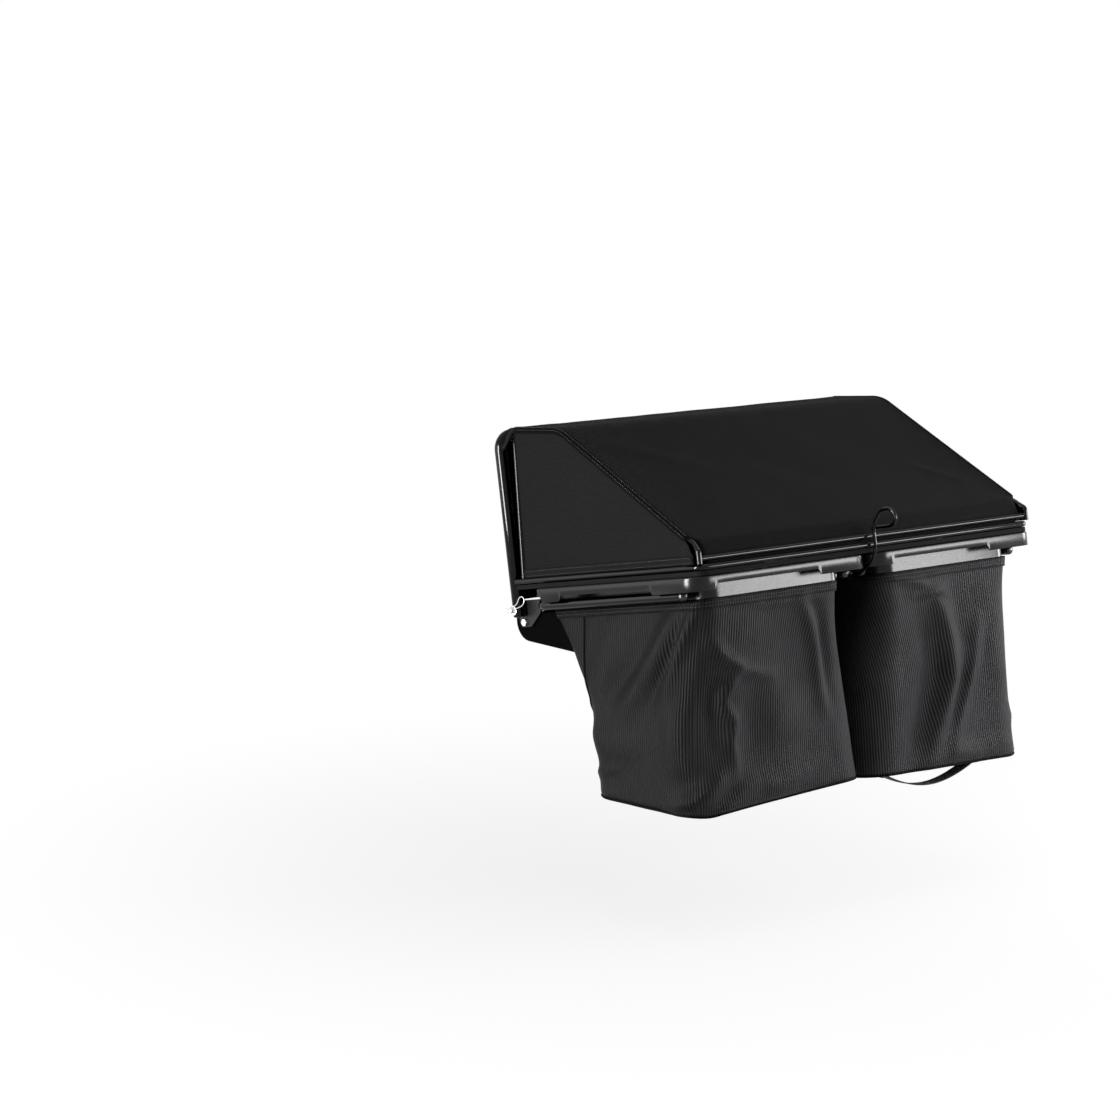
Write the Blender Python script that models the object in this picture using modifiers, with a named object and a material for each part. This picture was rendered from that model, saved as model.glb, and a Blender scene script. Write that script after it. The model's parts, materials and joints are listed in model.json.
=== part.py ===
# Twin-bag grass collector for a small ride-on mower: a tipped tube frame on a hitch post,
# two fabric bags hung in moulded rims, and a fabric hood that lifts about a front hinge.
#
# The origin is the centre of the hitch plate's front face, +Y points to the mower and +Z up.
# Parts of the tipped frame are placed by how far they lie across, back and up from the
# middle of the hood's hinge axis. Sizes are in metres.

import math

import bmesh
import bpy
from mathutils import Matrix, Vector

# Running and seating clearances
GAP = 0.0003
WELD = 1e-6

# Stance of the tipped frame
TILT = math.radians(10.5)

# Hood frame: tube centres, measured from the hinge axis
HOOP_HALF_WIDTH = 0.380
HOOP_HEIGHT = 0.311
HOOP_TUBE = 0.011
HOOP_CORNER = 0.026
LEG_BELOW_HINGE = 0.011
BASE_SPREAD = 0.006
HOOD_LENGTH = 0.517
BASE_TUBE = 0.0055
BASE_CORNER = 0.015
REAR_RAIL_ABOVE_BASE = 0.0145
RAIL_TUBE = 0.005
SHOULDER_BACK = 0.190
SHOULDER_BELOW_HOOP = 0.009
SHOULDER_FALL = 0.003
REAR_POST_ABOVE_BASE = 0.040
POST_JOG = 0.017
REAR_RAIL_INSET = 0.002
SIDE_RAIL_JOG = 0.008
SIDE_RAIL_JOG_STARTS = 0.008
SIDE_RAIL_JOG_ENDS = 0.030
SIDE_RAIL_RADII = (0.010, 0.020, 0.060, 0.010, 0.008)
FRONT_ROD = 0.0035
FRONT_ROD_BACK = 0.033
FRONT_ROD_LEAN = 0.012
FRONT_ROD_SPREAD = 0.001
FRONT_ROD_SHORT = 0.0006
BOW_BACK = 0.004
BOW_DROP = 0.0042
SEAL_WIDTH = 0.007
SEAL_THICK = 0.0079
SEAL_FRONT = 0.004

# Fabric cover of the hood
CLOTH = 0.0018
PIPING = 0.0016
COVER_FRONT_BACK = 0.003
COVER_FALL = 0.0006
COVER_PEAK = 0.012
COVER_HEEL = 0.003
COVER_SHOULDER_BEND = 0.085
COVER_HEEL_BEND = 0.008
COVER_NOTCH = 0.050

# Chute inlet in the hood's front
FRONT_PANEL = 0.0025
FRONT_PANEL_BOTTOM = 0.018
INLET_FROM_HOOP = 0.165
INLET_HEIGHT = 0.168
INLET_RADIUS = 0.080
COLLAR_WALL = 0.003
COLLAR_LENGTH = 0.045
COLLAR_FLANGE = 0.024
COLLAR_SCREWS = 6
COLLAR_SCREW = 0.0022
SCREW_HEAD = 0.0042
SCREW_HEAD_HEIGHT = 0.0022
SCREW_PAST = 0.004

# Bag rails and crossbar
RAIL_RADIUS = 0.009
RAIL_INNER = 0.020
RAIL_UP = 0.005
RAIL_FRONT = 0.054
RAIL_REAR = 0.462
RAIL_CORNER = 0.040
END_CAP_LENGTH = 0.010
CROSSBAR_DEPTH = 0.030
CROSSBAR_HEIGHT = 0.020
CROSSBAR_WALL = 0.002

# Hinges
BRACKET = 0.004
BRACKET_REACH = 0.016
BRACKET_TIP = 0.0035
BRACKET_UNDER_BAR = 0.002
BRACKET_BELOW_BOLT = 0.0085
PIN_RADIUS = 0.004
PIN_HEAD = 0.0065
PIN_HEAD_THICK = 0.004
PIN_PAST_LEG = 0.0095
PIN_BEVEL = 0.001
WASHER = 0.0015
WASHER_RADIUS = 0.0085
CLIP_WIRE = 0.0011
CLIP_PAST_WASHER = 0.0035
CLIP_ANGLE = -math.radians(14)

# Hitch
HITCH_DROP = 0.145
HITCH_WIDTH = 0.130
HITCH_HEIGHT = 0.120
HITCH_THICK = 0.006
HITCH_HOLE = 0.0055
HITCH_HOLE_ACROSS = 0.048
HITCH_HOLE_UP = 0.042
HITCH_CORNER = 0.012
POST_WIDTH = 0.040
POST_DEPTH = 0.030
POST_WALL = 0.0025
GUSSET = 0.004
GUSSET_REACH = 0.045

# Front apron
APRON_WALL = 0.0025
APRON_LIP_FORWARD = 0.027
APRON_LIP_DROP = 0.014
APRON_DROP = 0.057
APRON_BAG_GAP = 0.004
APRON_FIN = 0.012
APRON_CORNER = 0.036
APRON_CLEARANCE = 0.002
APRON_TOP = -0.009
APRON_BOLT_BACK = 0.001
APRON_BOLT_CLEARANCE = 0.0006
BOLT_HEAD = 0.005
BOLT_HEX = 0.0072
BOLT_PAST = 0.004

# Bag rims
RIM_WALL = 0.0025
RIM_TOP = 0.036
RIM_TAB_BOTTOM = 0.011
RIM_NOTCH_BOTTOM = 0.021
RIM_STEP = 0.008
RIM_SPLIT = 0.004
RIM_PAST_RAIL = 0.008
RIM_BEHIND_RAIL = 0.002
RIM_REAR = 0.519
RIM_CORNER = 0.035
BAND_INNER = 0.046
BAND_FROM_SKIRT = 0.043
BAND_FRONT = 0.078
BAND_REAR = 0.490
BAND_CORNER = 0.030
BAND_BOTTOM = -0.004
SIDE_TAB_FRONT = 0.047
SIDE_TAB_REAR = 0.078
REAR_TAB_LEFT = 0.007
REAR_TAB_RIGHT = 0.080
RIB = 0.003
RIB_BACKS = (0.130, 0.270, 0.410)

# Bags, which hang plumb: sizes down from the rim
BAG_CLOTH = 0.003
BAG_HALF_FLARE = 0.028
BAG_FRONT_BOTTOM = 0.232
BAG_REAR_BOTTOM = 0.478
BAG_DROP_FRONT = 0.292
BAG_DROP_REAR = 0.279
BAG_FRONT_KNEE = 0.57
BAG_KNEE_SHARP = 6
BAG_EDGE = 0.022
BAG_CORNER = 0.050
BAG_LEVELS = (0, 0.06, 0.18, 0.34, 0.48, 0.58, 0.70, 0.84, 0.93, 0.975)
STRAP_WIDTH = 0.025
STRAP_THICK = 0.002
STRAP_LENGTH = 0.200
STRAP_SAG = 0.020
STRAP_SEAM = 0.024
RIGHT_STRAP_ACROSS = 0.010
RIGHT_STRAP_FORWARD = 0.030
LEFT_STRAP_ACROSS = 0.285
LEFT_STRAP_FORWARD = 0.148
LEFT_STRAP_SAG = 0.004

# Latch
LATCH_WIRE = 0.003
LATCH_BACK = 0.450
LATCH_BOLT = 0.004
SPACER_WALL = 0.0015

# Places that follow from the sizes above
BASE_HALF_WIDTH = HOOP_HALF_WIDTH + BASE_SPREAD
INLET_ACROSS = HOOP_HALF_WIDTH - INLET_FROM_HOOP
SHOULDER_HEIGHT = HOOP_HEIGHT - SHOULDER_BELOW_HOOP
REAR_RAIL_BACK = HOOD_LENGTH - REAR_RAIL_INSET
RAIL_OUTER = BASE_HALF_WIDTH
RIM_OUTER = RAIL_OUTER + RAIL_RADIUS + RIM_PAST_RAIL
RIM_FRONT = RAIL_FRONT + RAIL_RADIUS + RIM_BEHIND_RAIL
BAND_OUTER = RIM_OUTER - BAND_FROM_SKIRT
LEG_SWEEP = math.hypot(HOOP_TUBE, LEG_BELOW_HINGE)
APRON_BOLT_DOWN = LEG_SWEEP + BOLT_HEX + APRON_BOLT_CLEARANCE
APRON_BOLT_AT = (APRON_BOLT_BACK, -APRON_BOLT_DOWN)
BRACKET_FOOT = APRON_BOLT_DOWN + BRACKET_BELOW_BOLT
POST_BACK = HITCH_THICK + GAP + POST_DEPTH / 2
CROSSBAR_BACK = RAIL_FRONT - RAIL_RADIUS - GAP - CROSSBAR_DEPTH / 2
BRACKET_INNER = HOOP_HALF_WIDTH - HOOP_TUBE - GAP - BRACKET
CROSSBAR_HALF = BRACKET_INNER - GAP
SEAL_MIDDLE = RIM_TOP + GAP + SEAL_THICK / 2
BASE_HEIGHT = SEAL_MIDDLE + SEAL_THICK / 2 + GAP + BASE_TUBE
BASE_TOP = BASE_HEIGHT + BASE_TUBE
REAR_RAIL_HEIGHT = BASE_HEIGHT + REAR_RAIL_ABOVE_BASE
REAR_POST_HEIGHT = BASE_HEIGHT + REAR_POST_ABOVE_BASE
COVER_OUTSIDE = HOOP_HALF_WIDTH + RAIL_TUBE + GAP + CLOTH
COVER_SIDE_FRONT = FRONT_ROD_BACK + FRONT_ROD + 0.001
COVER_SIDE_FRONT_TOP = COVER_SIDE_FRONT + FRONT_ROD_LEAN + 0.0015
HOOK_NOSE = HOOD_LENGTH + LATCH_WIRE + 0.001 - LATCH_BACK
HINGE = Vector((0, 0, HITCH_DROP))


def across_back_up(across, back, up):
    return Vector((across, -back, up))


def plumb_of(back, up):
    """How far back and up of the hinge, measured plumb, a place in the tipped frame lies."""
    return (
        back * math.cos(TILT) - up * math.sin(TILT),
        back * math.sin(TILT) + up * math.cos(TILT),
    )


def tipped_of(back, up):
    """The place in the tipped frame that lies so far back and up of the hinge, plumb."""
    return (
        back * math.cos(TILT) + up * math.sin(TILT),
        up * math.cos(TILT) - back * math.sin(TILT),
    )


HINGE.y = plumb_of(CROSSBAR_BACK, RAIL_UP - CROSSBAR_HEIGHT / 2)[0] - POST_BACK

# Directions for flat outlines: drawn in the X-Y plane, then stood up
FACING_SIDE = Matrix(((0, 0, -1), (-1, 0, 0), (0, 1, 0))).to_4x4()
FACING_BACK = Matrix(((1, 0, 0), (0, 0, -1), (0, 1, 0))).to_4x4()
AXIS_ACROSS = Matrix.Rotation(math.pi / 2, 4, "Y")
AXIS_BACK = Matrix.Rotation(math.pi / 2, 4, "X")

for old in list(bpy.data.objects):
    bpy.data.objects.remove(old)

parts = bpy.data.collections.new("mower_bagger")
cutters = bpy.data.collections.new("cutters")
bpy.context.scene.collection.children.link(parts)
bpy.context.scene.collection.children.link(cutters)


# Materials


def material(name, colour, roughness, metallic=0.0):
    made = bpy.data.materials.new(name)
    made.use_nodes = True
    shader = made.node_tree.nodes["Principled BSDF"]
    shader.inputs["Base Color"].default_value = (*colour, 1)
    shader.inputs["Roughness"].default_value = roughness
    shader.inputs["Metallic"].default_value = metallic
    return made


gloss_paint = material("gloss_black_paint", (0.008, 0.008, 0.009), 0.18)
satin_paint = material("satin_black_paint", (0.010, 0.010, 0.011), 0.38)
rim_plastic = material("moulded_rim_plastic", (0.020, 0.020, 0.022), 0.30)
apron_plastic = material("moulded_apron_plastic", (0.006, 0.006, 0.006), 0.55)
cap_plastic = material("end_cap_plastic", (0.012, 0.012, 0.013), 0.25)
seal_rubber = material("seal_rubber", (0.010, 0.010, 0.010), 0.80)
hood_cloth = material("hood_cloth", (0.012, 0.012, 0.013), 0.85)
side_cloth = material("hood_side_mesh", (0.016, 0.016, 0.017), 0.80)
piping_cloth = material("piping", (0.008, 0.008, 0.008), 0.60)
bag_cloth = material("ribbed_bag_cloth", (0.020, 0.020, 0.021), 0.65)
webbing = material("strap_webbing", (0.010, 0.010, 0.010), 0.75)
zinc = material("bright_zinc", (0.62, 0.62, 0.60), 0.28, 1.0)
nylon = material("spacer_nylon", (0.030, 0.030, 0.030), 0.45)


# Helpers


def add_part(name, data, surface, parent, matrix=None):
    part = bpy.data.objects.new(name, data)
    parts.objects.link(part)
    part.parent = parent
    data.materials.append(surface)
    if matrix is not None:
        part.matrix_basis = matrix
    return part


def add_empty(name, parent, matrix):
    empty = bpy.data.objects.new(name, None)
    empty.empty_display_size = 0.05
    parts.objects.link(empty)
    empty.parent = parent
    empty.matrix_basis = matrix
    return empty


def corner_arc(before, corner, after, radius, steps):
    """Points of the arc that rounds one corner of a path."""
    to_start = (before - corner).normalized()
    to_end = (after - corner).normalized()
    half = to_start.angle(to_end) / 2
    centre = corner + (to_start + to_end).normalized() * radius / math.sin(half)
    start = corner + to_start * radius / math.tan(half) - centre
    end = corner + to_end * radius / math.tan(half) - centre
    sweep = start.angle(end)
    arc = []
    for i in range(steps + 1):
        part = i / steps
        spoke = start * math.sin((1 - part) * sweep) + end * math.sin(part * sweep)
        arc.append(centre + spoke / math.sin(sweep))
    return arc


def rounded_path(points, radius, steps=6):
    """The open path through the points, with every inner corner rounded."""
    path = [points[0]]
    for before, corner, after in zip(points, points[1:], points[2:]):
        path += corner_arc(before, corner, after, radius, steps)
    return path + [points[-1]]


def rounded_loop(points, radii, steps=5):
    """The closed outline through the points, each rounded to its own radius."""
    loop = []
    for i, (corner, radius) in enumerate(zip(points, radii)):
        before = points[i - 1]
        after = points[(i + 1) % len(points)]
        if radius > 0:
            loop += corner_arc(before, corner, after, radius, steps)
        else:
            loop.append(corner)
    return loop


def smooth_path(points, steps=5):
    """A Catmull-Rom curve through the points."""
    ends = [2 * points[0] - points[1], *points, 2 * points[-1] - points[-2]]
    path = []
    for a, b, c, d in zip(ends, ends[1:], ends[2:], ends[3:]):
        for i in range(steps):
            t = i / steps
            blend = 2 * b + (c - a) * t + (2 * a - 5 * b + 4 * c - d) * t**2
            path.append((blend + (3 * b - 3 * c + d - a) * t**3) / 2)
    return path + [points[-1]]


def circle(radius, centre=(0, 0), sides=24):
    middle = Vector(centre)
    turn = 2 * math.pi / sides
    return [
        middle + radius * Vector((math.cos(i * turn), math.sin(i * turn)))
        for i in range(sides)
    ]


def tube(name, points, radius, surface, parent, resolution=3):
    curve = bpy.data.curves.new(name, "CURVE")
    curve.dimensions = "3D"
    curve.bevel_depth = radius
    curve.bevel_resolution = resolution
    curve.use_fill_caps = True
    spline = curve.splines.new("POLY")
    spline.points.add(len(points) - 1)
    for point, place in zip(spline.points, points):
        point.co = (*place, 1)
    spline.use_smooth = True
    return add_part(name, curve, surface, parent)


def flat_part(name, outlines, thickness, surface, parent, matrix):
    """A plate from flat outlines: the first is its edge, the others are holes."""
    curve = bpy.data.curves.new(name, "CURVE")
    curve.dimensions = "2D"
    curve.fill_mode = "BOTH"
    curve.extrude = thickness / 2
    for outline in outlines:
        spline = curve.splines.new("POLY")
        spline.points.add(len(outline) - 1)
        for point, place in zip(spline.points, outline):
            point.co = (place[0], place[1], 0, 1)
        spline.use_cyclic_u = True
    return add_part(name, curve, surface, parent, matrix)


def as_mesh(part):
    """The part with its curve made a mesh and its end caps welded on."""
    bpy.context.view_layer.update()
    graph = bpy.context.evaluated_depsgraph_get()
    mesh = bpy.data.meshes.new_from_object(part.evaluated_get(graph))
    welded = bmesh.new()
    welded.from_mesh(mesh)
    bmesh.ops.remove_doubles(welded, verts=welded.verts, dist=WELD)
    bmesh.ops.recalc_face_normals(welded, faces=welded.faces)
    welded.to_mesh(mesh)
    welded.free()
    name = part.name
    parent = part.parent
    matrix = part.matrix_basis.copy()
    bpy.data.objects.remove(part)
    solid = bpy.data.objects.new(name, mesh)
    parts.objects.link(solid)
    solid.parent = parent
    solid.matrix_basis = matrix
    mesh.name = name
    return solid


def cylinder_tool(name, radius, length, parent, matrix, sides=20):
    mesh = bpy.data.meshes.new(name)
    shape = bmesh.new()
    bmesh.ops.create_cone(
        shape, cap_ends=True, segments=sides, radius1=radius, radius2=radius, depth=length
    )
    shape.to_mesh(mesh)
    shape.free()
    return add_tool(name, mesh, parent, matrix)


def box_tool(name, size, parent, matrix):
    mesh = bpy.data.meshes.new(name)
    shape = bmesh.new()
    bmesh.ops.create_cube(shape, size=1, matrix=Matrix.Diagonal((*size, 1)))
    shape.to_mesh(mesh)
    shape.free()
    return add_tool(name, mesh, parent, matrix)


def add_tool(name, mesh, parent, matrix):
    tool = bpy.data.objects.new(name, mesh)
    cutters.objects.link(tool)
    tool.parent = parent
    tool.matrix_basis = matrix
    tool.hide_render = True
    tool.display_type = "WIRE"
    return tool


def apply_tool(part, tool, operation):
    boolean = part.modifiers.new(tool.name, "BOOLEAN")
    boolean.operation = operation
    boolean.object = tool
    boolean.solver = "EXACT"


def turned(name, profile, surface, parent, matrix, steps=24):
    """A turned part: the profile's radius and height pairs run down its outer side."""
    mesh = bpy.data.meshes.new(name)
    points = [(radius, 0, height) for radius, height in profile]
    edges = [(i, i + 1) for i in range(len(points) - 1)]
    if profile[0][0] > 0:
        edges.append((len(points) - 1, 0))
    mesh.from_pydata(points, edges, [])
    part = add_part(name, mesh, surface, parent, matrix)
    screw = part.modifiers.new("turn", "SCREW")
    screw.steps = steps
    screw.render_steps = steps
    screw.use_merge_vertices = True
    screw.merge_threshold = 1e-5
    screw.use_smooth_shade = True
    return part


def mesh_part(name, points, faces, surface, parent):
    """A lofted part, with its faces turned outward."""
    mesh = bpy.data.meshes.new(name)
    mesh.from_pydata(points, [], faces)
    shape = bmesh.new()
    shape.from_mesh(mesh)
    bmesh.ops.recalc_face_normals(shape, faces=shape.faces)
    shape.to_mesh(mesh)
    shape.free()
    return add_part(name, mesh, surface, parent)


def smooth(part, angle=math.radians(35)):
    part.data.shade_smooth()
    part.data.set_sharp_from_angle(angle=angle)


# Empties that carry the parts

tipped = add_empty("tipped_frame", None, Matrix.Translation(HINGE) @ Matrix.Rotation(-TILT, 4, "X"))
plumb = add_empty("bag_hang", None, Matrix.Translation(HINGE))
hood = add_empty("hood_hinge", tipped, Matrix.Identity(4))
latch_centre = across_back_up(0, LATCH_BACK, RAIL_UP)
latch = add_empty("latch_pivot", tipped, Matrix.Translation(latch_centre))


# Hitch plate and post, upright below the crossbar


def make_hitch():
    half_width = HITCH_WIDTH / 2
    half_height = HITCH_HEIGHT / 2
    corners = [
        Vector((-half_width, -half_height)),
        Vector((half_width, -half_height)),
        Vector((half_width, half_height)),
        Vector((-half_width, half_height)),
    ]
    outlines = [rounded_loop(corners, [HITCH_CORNER] * 4)]
    for side in (-1, 1):
        for level in (-1, 1):
            centre = (side * HITCH_HOLE_ACROSS, level * HITCH_HOLE_UP)
            outlines.append(circle(HITCH_HOLE, centre, 20))
    middle = Matrix.Translation((0, -HITCH_THICK / 2, 0))
    flat_part("hitch_plate", outlines, HITCH_THICK, satin_paint, None, middle @ FACING_BACK)

    crossbar_bottom = plumb_of(CROSSBAR_BACK, RAIL_UP - CROSSBAR_HEIGHT / 2)[1]
    top = HITCH_DROP + crossbar_bottom + POST_DEPTH
    bottom = -half_height
    outer = rectangle(POST_WIDTH, POST_DEPTH)
    inner = rectangle(POST_WIDTH - 2 * POST_WALL, POST_DEPTH - 2 * POST_WALL)
    place = Matrix.Translation((0, -POST_BACK, (top + bottom) / 2))
    post = as_mesh(
        flat_part("hitch_post", [outer, inner], top - bottom, satin_paint, None, place)
    )
    trim_height = 0.2
    trim_up = RAIL_UP - CROSSBAR_HEIGHT / 2 - GAP + trim_height / 2
    trim_place = Matrix.Translation(across_back_up(0, CROSSBAR_BACK, trim_up))
    trim = box_tool("post_trim", (0.3, 0.3, trim_height), tipped, trim_place)
    apply_tool(post, trim, "DIFFERENCE")


def rectangle(width, depth):
    return [
        Vector((-width / 2, -depth / 2)),
        Vector((width / 2, -depth / 2)),
        Vector((width / 2, depth / 2)),
        Vector((-width / 2, depth / 2)),
    ]


def make_gusset(name, side):
    """A triangle between one side of the post and the underside of the crossbar."""
    start = POST_WIDTH / 2 + GAP
    outline = [
        Vector((side * start, 0)),
        Vector((side * (start + GUSSET_REACH), 0)),
        Vector((side * start, -GUSSET_REACH)),
    ]
    under = RAIL_UP - CROSSBAR_HEIGHT / 2 - GAP
    place = Matrix.Translation(across_back_up(0, CROSSBAR_BACK, under))
    flat_part(name, [outline], GUSSET, satin_paint, tipped, place @ FACING_BACK)


# Crossbar, bag rails and their end caps


def make_crossbar():
    outer = rectangle(CROSSBAR_DEPTH, CROSSBAR_HEIGHT)
    inner = rectangle(CROSSBAR_DEPTH - 2 * CROSSBAR_WALL, CROSSBAR_HEIGHT - 2 * CROSSBAR_WALL)
    place = Matrix.Translation(across_back_up(0, CROSSBAR_BACK, RAIL_UP))
    flat_part(
        "frame_crossbar", [outer, inner], 2 * CROSSBAR_HALF, satin_paint, tipped, place @ FACING_SIDE
    )


def make_bag_rail(name, side):
    """One bent tube round three sides of a bag, open at the rear."""
    corners = [
        across_back_up(side * RAIL_OUTER, RAIL_REAR, RAIL_UP),
        across_back_up(side * RAIL_OUTER, RAIL_FRONT, RAIL_UP),
        across_back_up(side * RAIL_INNER, RAIL_FRONT, RAIL_UP),
        across_back_up(side * RAIL_INNER, RAIL_REAR, RAIL_UP),
    ]
    rail = as_mesh(
        tube(name, rounded_path(corners, RAIL_CORNER), RAIL_RADIUS, gloss_paint, tipped, 4)
    )
    place = Matrix.Translation(across_back_up(side * RAIL_INNER, LATCH_BACK, RAIL_UP))
    drill = cylinder_tool(
        name + "_drill", LATCH_BOLT + GAP, 4 * RAIL_RADIUS, tipped, place @ AXIS_ACROSS
    )
    apply_tool(rail, drill, "DIFFERENCE")


def make_end_caps():
    """Domed caps on the four open rail ends."""
    dome = [
        (RAIL_RADIUS * math.sin(math.radians(a)), END_CAP_LENGTH * math.cos(math.radians(a)))
        for a in (0, 18, 36, 54, 72, 90)
    ]
    profile = dome + [(0, 0)]
    for i, across in enumerate((-RAIL_OUTER, -RAIL_INNER, RAIL_INNER, RAIL_OUTER), 1):
        place = Matrix.Translation(across_back_up(across, RAIL_REAR + GAP, RAIL_UP))
        turned(f"rail_end_cap_{i}", profile, cap_plastic, tipped, place @ AXIS_BACK, 16)


# Hinges: bracket, clevis pin, washer and hairpin clip on each side


def make_hinge(side, word):
    tip = CROSSBAR_BACK + CROSSBAR_DEPTH / 2 + BRACKET_TIP
    under_bar = RAIL_UP - CROSSBAR_HEIGHT / 2 - BRACKET_UNDER_BAR
    outline = rounded_loop(
        [
            Vector((-BRACKET_REACH, BRACKET_REACH)),
            Vector((-BRACKET_REACH, -BRACKET_FOOT)),
            Vector((BRACKET_REACH, -BRACKET_FOOT)),
            Vector((tip, under_bar)),
            Vector((tip, BRACKET_REACH)),
        ],
        [0.014, 0.012, 0.012, 0.004, 0.004],
    )
    holes = [circle(PIN_RADIUS + GAP, sides=20), circle(PIN_RADIUS + GAP, APRON_BOLT_AT, 20)]
    place = Matrix.Translation((side * (BRACKET_INNER + BRACKET / 2), 0, 0))
    flat_part(
        "hinge_bracket_" + word, [outline, *holes], BRACKET, satin_paint, tipped, place @ FACING_SIDE
    )

    outward = Matrix.Rotation(side * math.pi / 2, 4, "Y")
    leg_outside = HOOP_HALF_WIDTH + HOOP_TUBE
    pin_start = BRACKET_INNER - GAP
    pin_end = leg_outside + PIN_PAST_LEG
    clip_at = leg_outside + GAP + WASHER + CLIP_PAST_WASHER
    profile = [
        (0, pin_end),
        (PIN_RADIUS - PIN_BEVEL, pin_end),
        (PIN_RADIUS, pin_end - PIN_BEVEL),
        (PIN_RADIUS, pin_start),
        (PIN_HEAD, pin_start),
        (PIN_HEAD, pin_start - PIN_HEAD_THICK),
        (0, pin_start - PIN_HEAD_THICK),
    ]
    pin = as_mesh(turned("hinge_pin_" + word, profile, zinc, tipped, outward, 20))
    through = Matrix.Translation((side * clip_at, 0, 0)) @ Matrix.Rotation(CLIP_ANGLE, 4, "X")
    drill = cylinder_tool(
        f"hinge_pin_{word}_drill", CLIP_WIRE + GAP, 0.03, tipped, through @ AXIS_BACK, 12
    )
    apply_tool(pin, drill, "DIFFERENCE")

    inside = leg_outside + GAP
    ring = [
        (PIN_RADIUS + GAP, inside + WASHER),
        (WASHER_RADIUS, inside + WASHER),
        (WASHER_RADIUS, inside),
        (PIN_RADIUS + GAP, inside),
    ]
    turned("hinge_washer_" + word, ring, zinc, tipped, outward, 20)

    hug = PIN_RADIUS + CLIP_WIRE + GAP
    clip_points = [
        (-0.013, 0),
        (0.004, 0),
        (0.022, 0),
        (0.032, 0),
        (0.0405, 0.0035),
        (0.0435, 0.010),
        (0.038, 0.0155),
        (0.030, 0.0145),
        (0.022, 0.0085),
        (0.013, 0.0058),
        (0.007, hug + 0.0015),
        (0, hug + 0.0010),
        (-0.007, hug),
        (-0.013, 0.0085),
    ]
    path = smooth_path([across_back_up(0, back, up) for back, up in clip_points], 2)
    clip = tube("hinge_clip_" + word, path, CLIP_WIRE, zinc, tipped, 1)
    clip.matrix_basis = through


# Front apron: a moulded pan that closes the frame between the hinges and the bags


def front_lean(share):
    """How far the bag's front has leaned back, 0 to 1, at a share of its drop: to the knee."""
    bend = (max(share, WELD) / BAG_FRONT_KNEE) ** -BAG_KNEE_SHARP
    return (1 + bend) ** (-1 / BAG_KNEE_SHARP)


def bag_front_at(drop):
    """How far back of the hinge, plumb, the bag's front face lies at a given drop."""
    top_back, top_up = plumb_of(BAND_FRONT, BAND_BOTTOM - GAP)
    share = (top_up + drop) / (top_up + BAG_DROP_FRONT)
    return top_back + (BAG_FRONT_BOTTOM - top_back) * front_lean(share)


def make_apron():
    half = CROSSBAR_HALF
    front_lip = tipped_of(-APRON_LIP_FORWARD, -APRON_LIP_DROP)
    front_foot = tipped_of(-APRON_LIP_FORWARD, -APRON_DROP)
    rear = bag_front_at(APRON_DROP) - APRON_BAG_GAP
    rear_foot = tipped_of(rear, -APRON_DROP)
    profile = rounded_path([Vector(front_lip), Vector(front_foot), Vector(rear_foot)], APRON_CORNER)
    fin_up = -APRON_DROP / 3
    closing = [
        Vector(tipped_of(rear + APRON_FIN, -APRON_DROP)),
        Vector(tipped_of(bag_front_at(-fin_up) + APRON_FIN, fin_up)),
        Vector((BAND_FRONT + APRON_FIN, APRON_TOP)),
        Vector((front_lip[0] + 0.004, APRON_TOP)),
    ]
    shape = bmesh.new()
    rows = []
    for side in (-1, 1):
        rows.append([shape.verts.new(across_back_up(side * half, *p)) for p in profile])
    for left, right in zip(zip(rows[0], rows[0][1:]), zip(rows[1], rows[1][1:])):
        shape.faces.new((left[0], left[1], right[1], right[0]))
    for side, row in zip((-1, 1), rows):
        rest = [shape.verts.new(across_back_up(side * half, *p)) for p in closing]
        shape.faces.new(row + rest)
    bmesh.ops.recalc_face_normals(shape, faces=shape.faces)
    mesh = bpy.data.meshes.new("front_apron")
    shape.to_mesh(mesh)
    shape.free()
    apron = add_part("front_apron", mesh, apron_plastic, tipped)
    shell = apron.modifiers.new("wall", "SOLIDIFY")
    shell.thickness = APRON_WALL
    shell.offset = -1
    shell.use_even_offset = True

    hole = (POST_WIDTH + 2 * APRON_CLEARANCE, POST_DEPTH + 2 * APRON_CLEARANCE, 0.030)
    place = Matrix.Translation((0, -POST_BACK, HITCH_DROP - APRON_DROP))
    apply_tool(apron, box_tool("apron_post_hole", hole, None, place), "DIFFERENCE")
    for side in (-1, 1):
        spot = across_back_up(side * half, *APRON_BOLT_AT)
        drill = cylinder_tool(
            f"apron_drill_{side}", PIN_RADIUS + GAP, 0.02, tipped, Matrix.Translation(spot) @ AXIS_ACROSS
        )
        apply_tool(apron, drill, "DIFFERENCE")


def make_apron_bolt(name, side):
    """A hex bolt from outside, through the hinge bracket and the apron's end."""
    outside = BRACKET_INNER + BRACKET + GAP
    shank = outside - (CROSSBAR_HALF - APRON_WALL) + BOLT_PAST
    mesh = bpy.data.meshes.new(name)
    shape = bmesh.new()
    bmesh.ops.create_cone(
        shape, cap_ends=True, segments=6, radius1=BOLT_HEX, radius2=BOLT_HEX, depth=BOLT_HEAD
    )
    shape.to_mesh(mesh)
    shape.free()
    spot = across_back_up(side * (outside + BOLT_HEAD / 2), *APRON_BOLT_AT)
    bolt = add_part(name, mesh, zinc, tipped, Matrix.Translation(spot) @ AXIS_ACROSS)
    middle = across_back_up(side * (outside + 0.001 - shank / 2), *APRON_BOLT_AT)
    rod = cylinder_tool(
        name + "_shank", PIN_RADIUS, shank + 0.002, tipped, Matrix.Translation(middle) @ AXIS_ACROSS
    )
    apply_tool(bolt, rod, "UNION")


# Bag rims: an upside-down channel over the rail, with a notched skirt and an inner band


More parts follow.
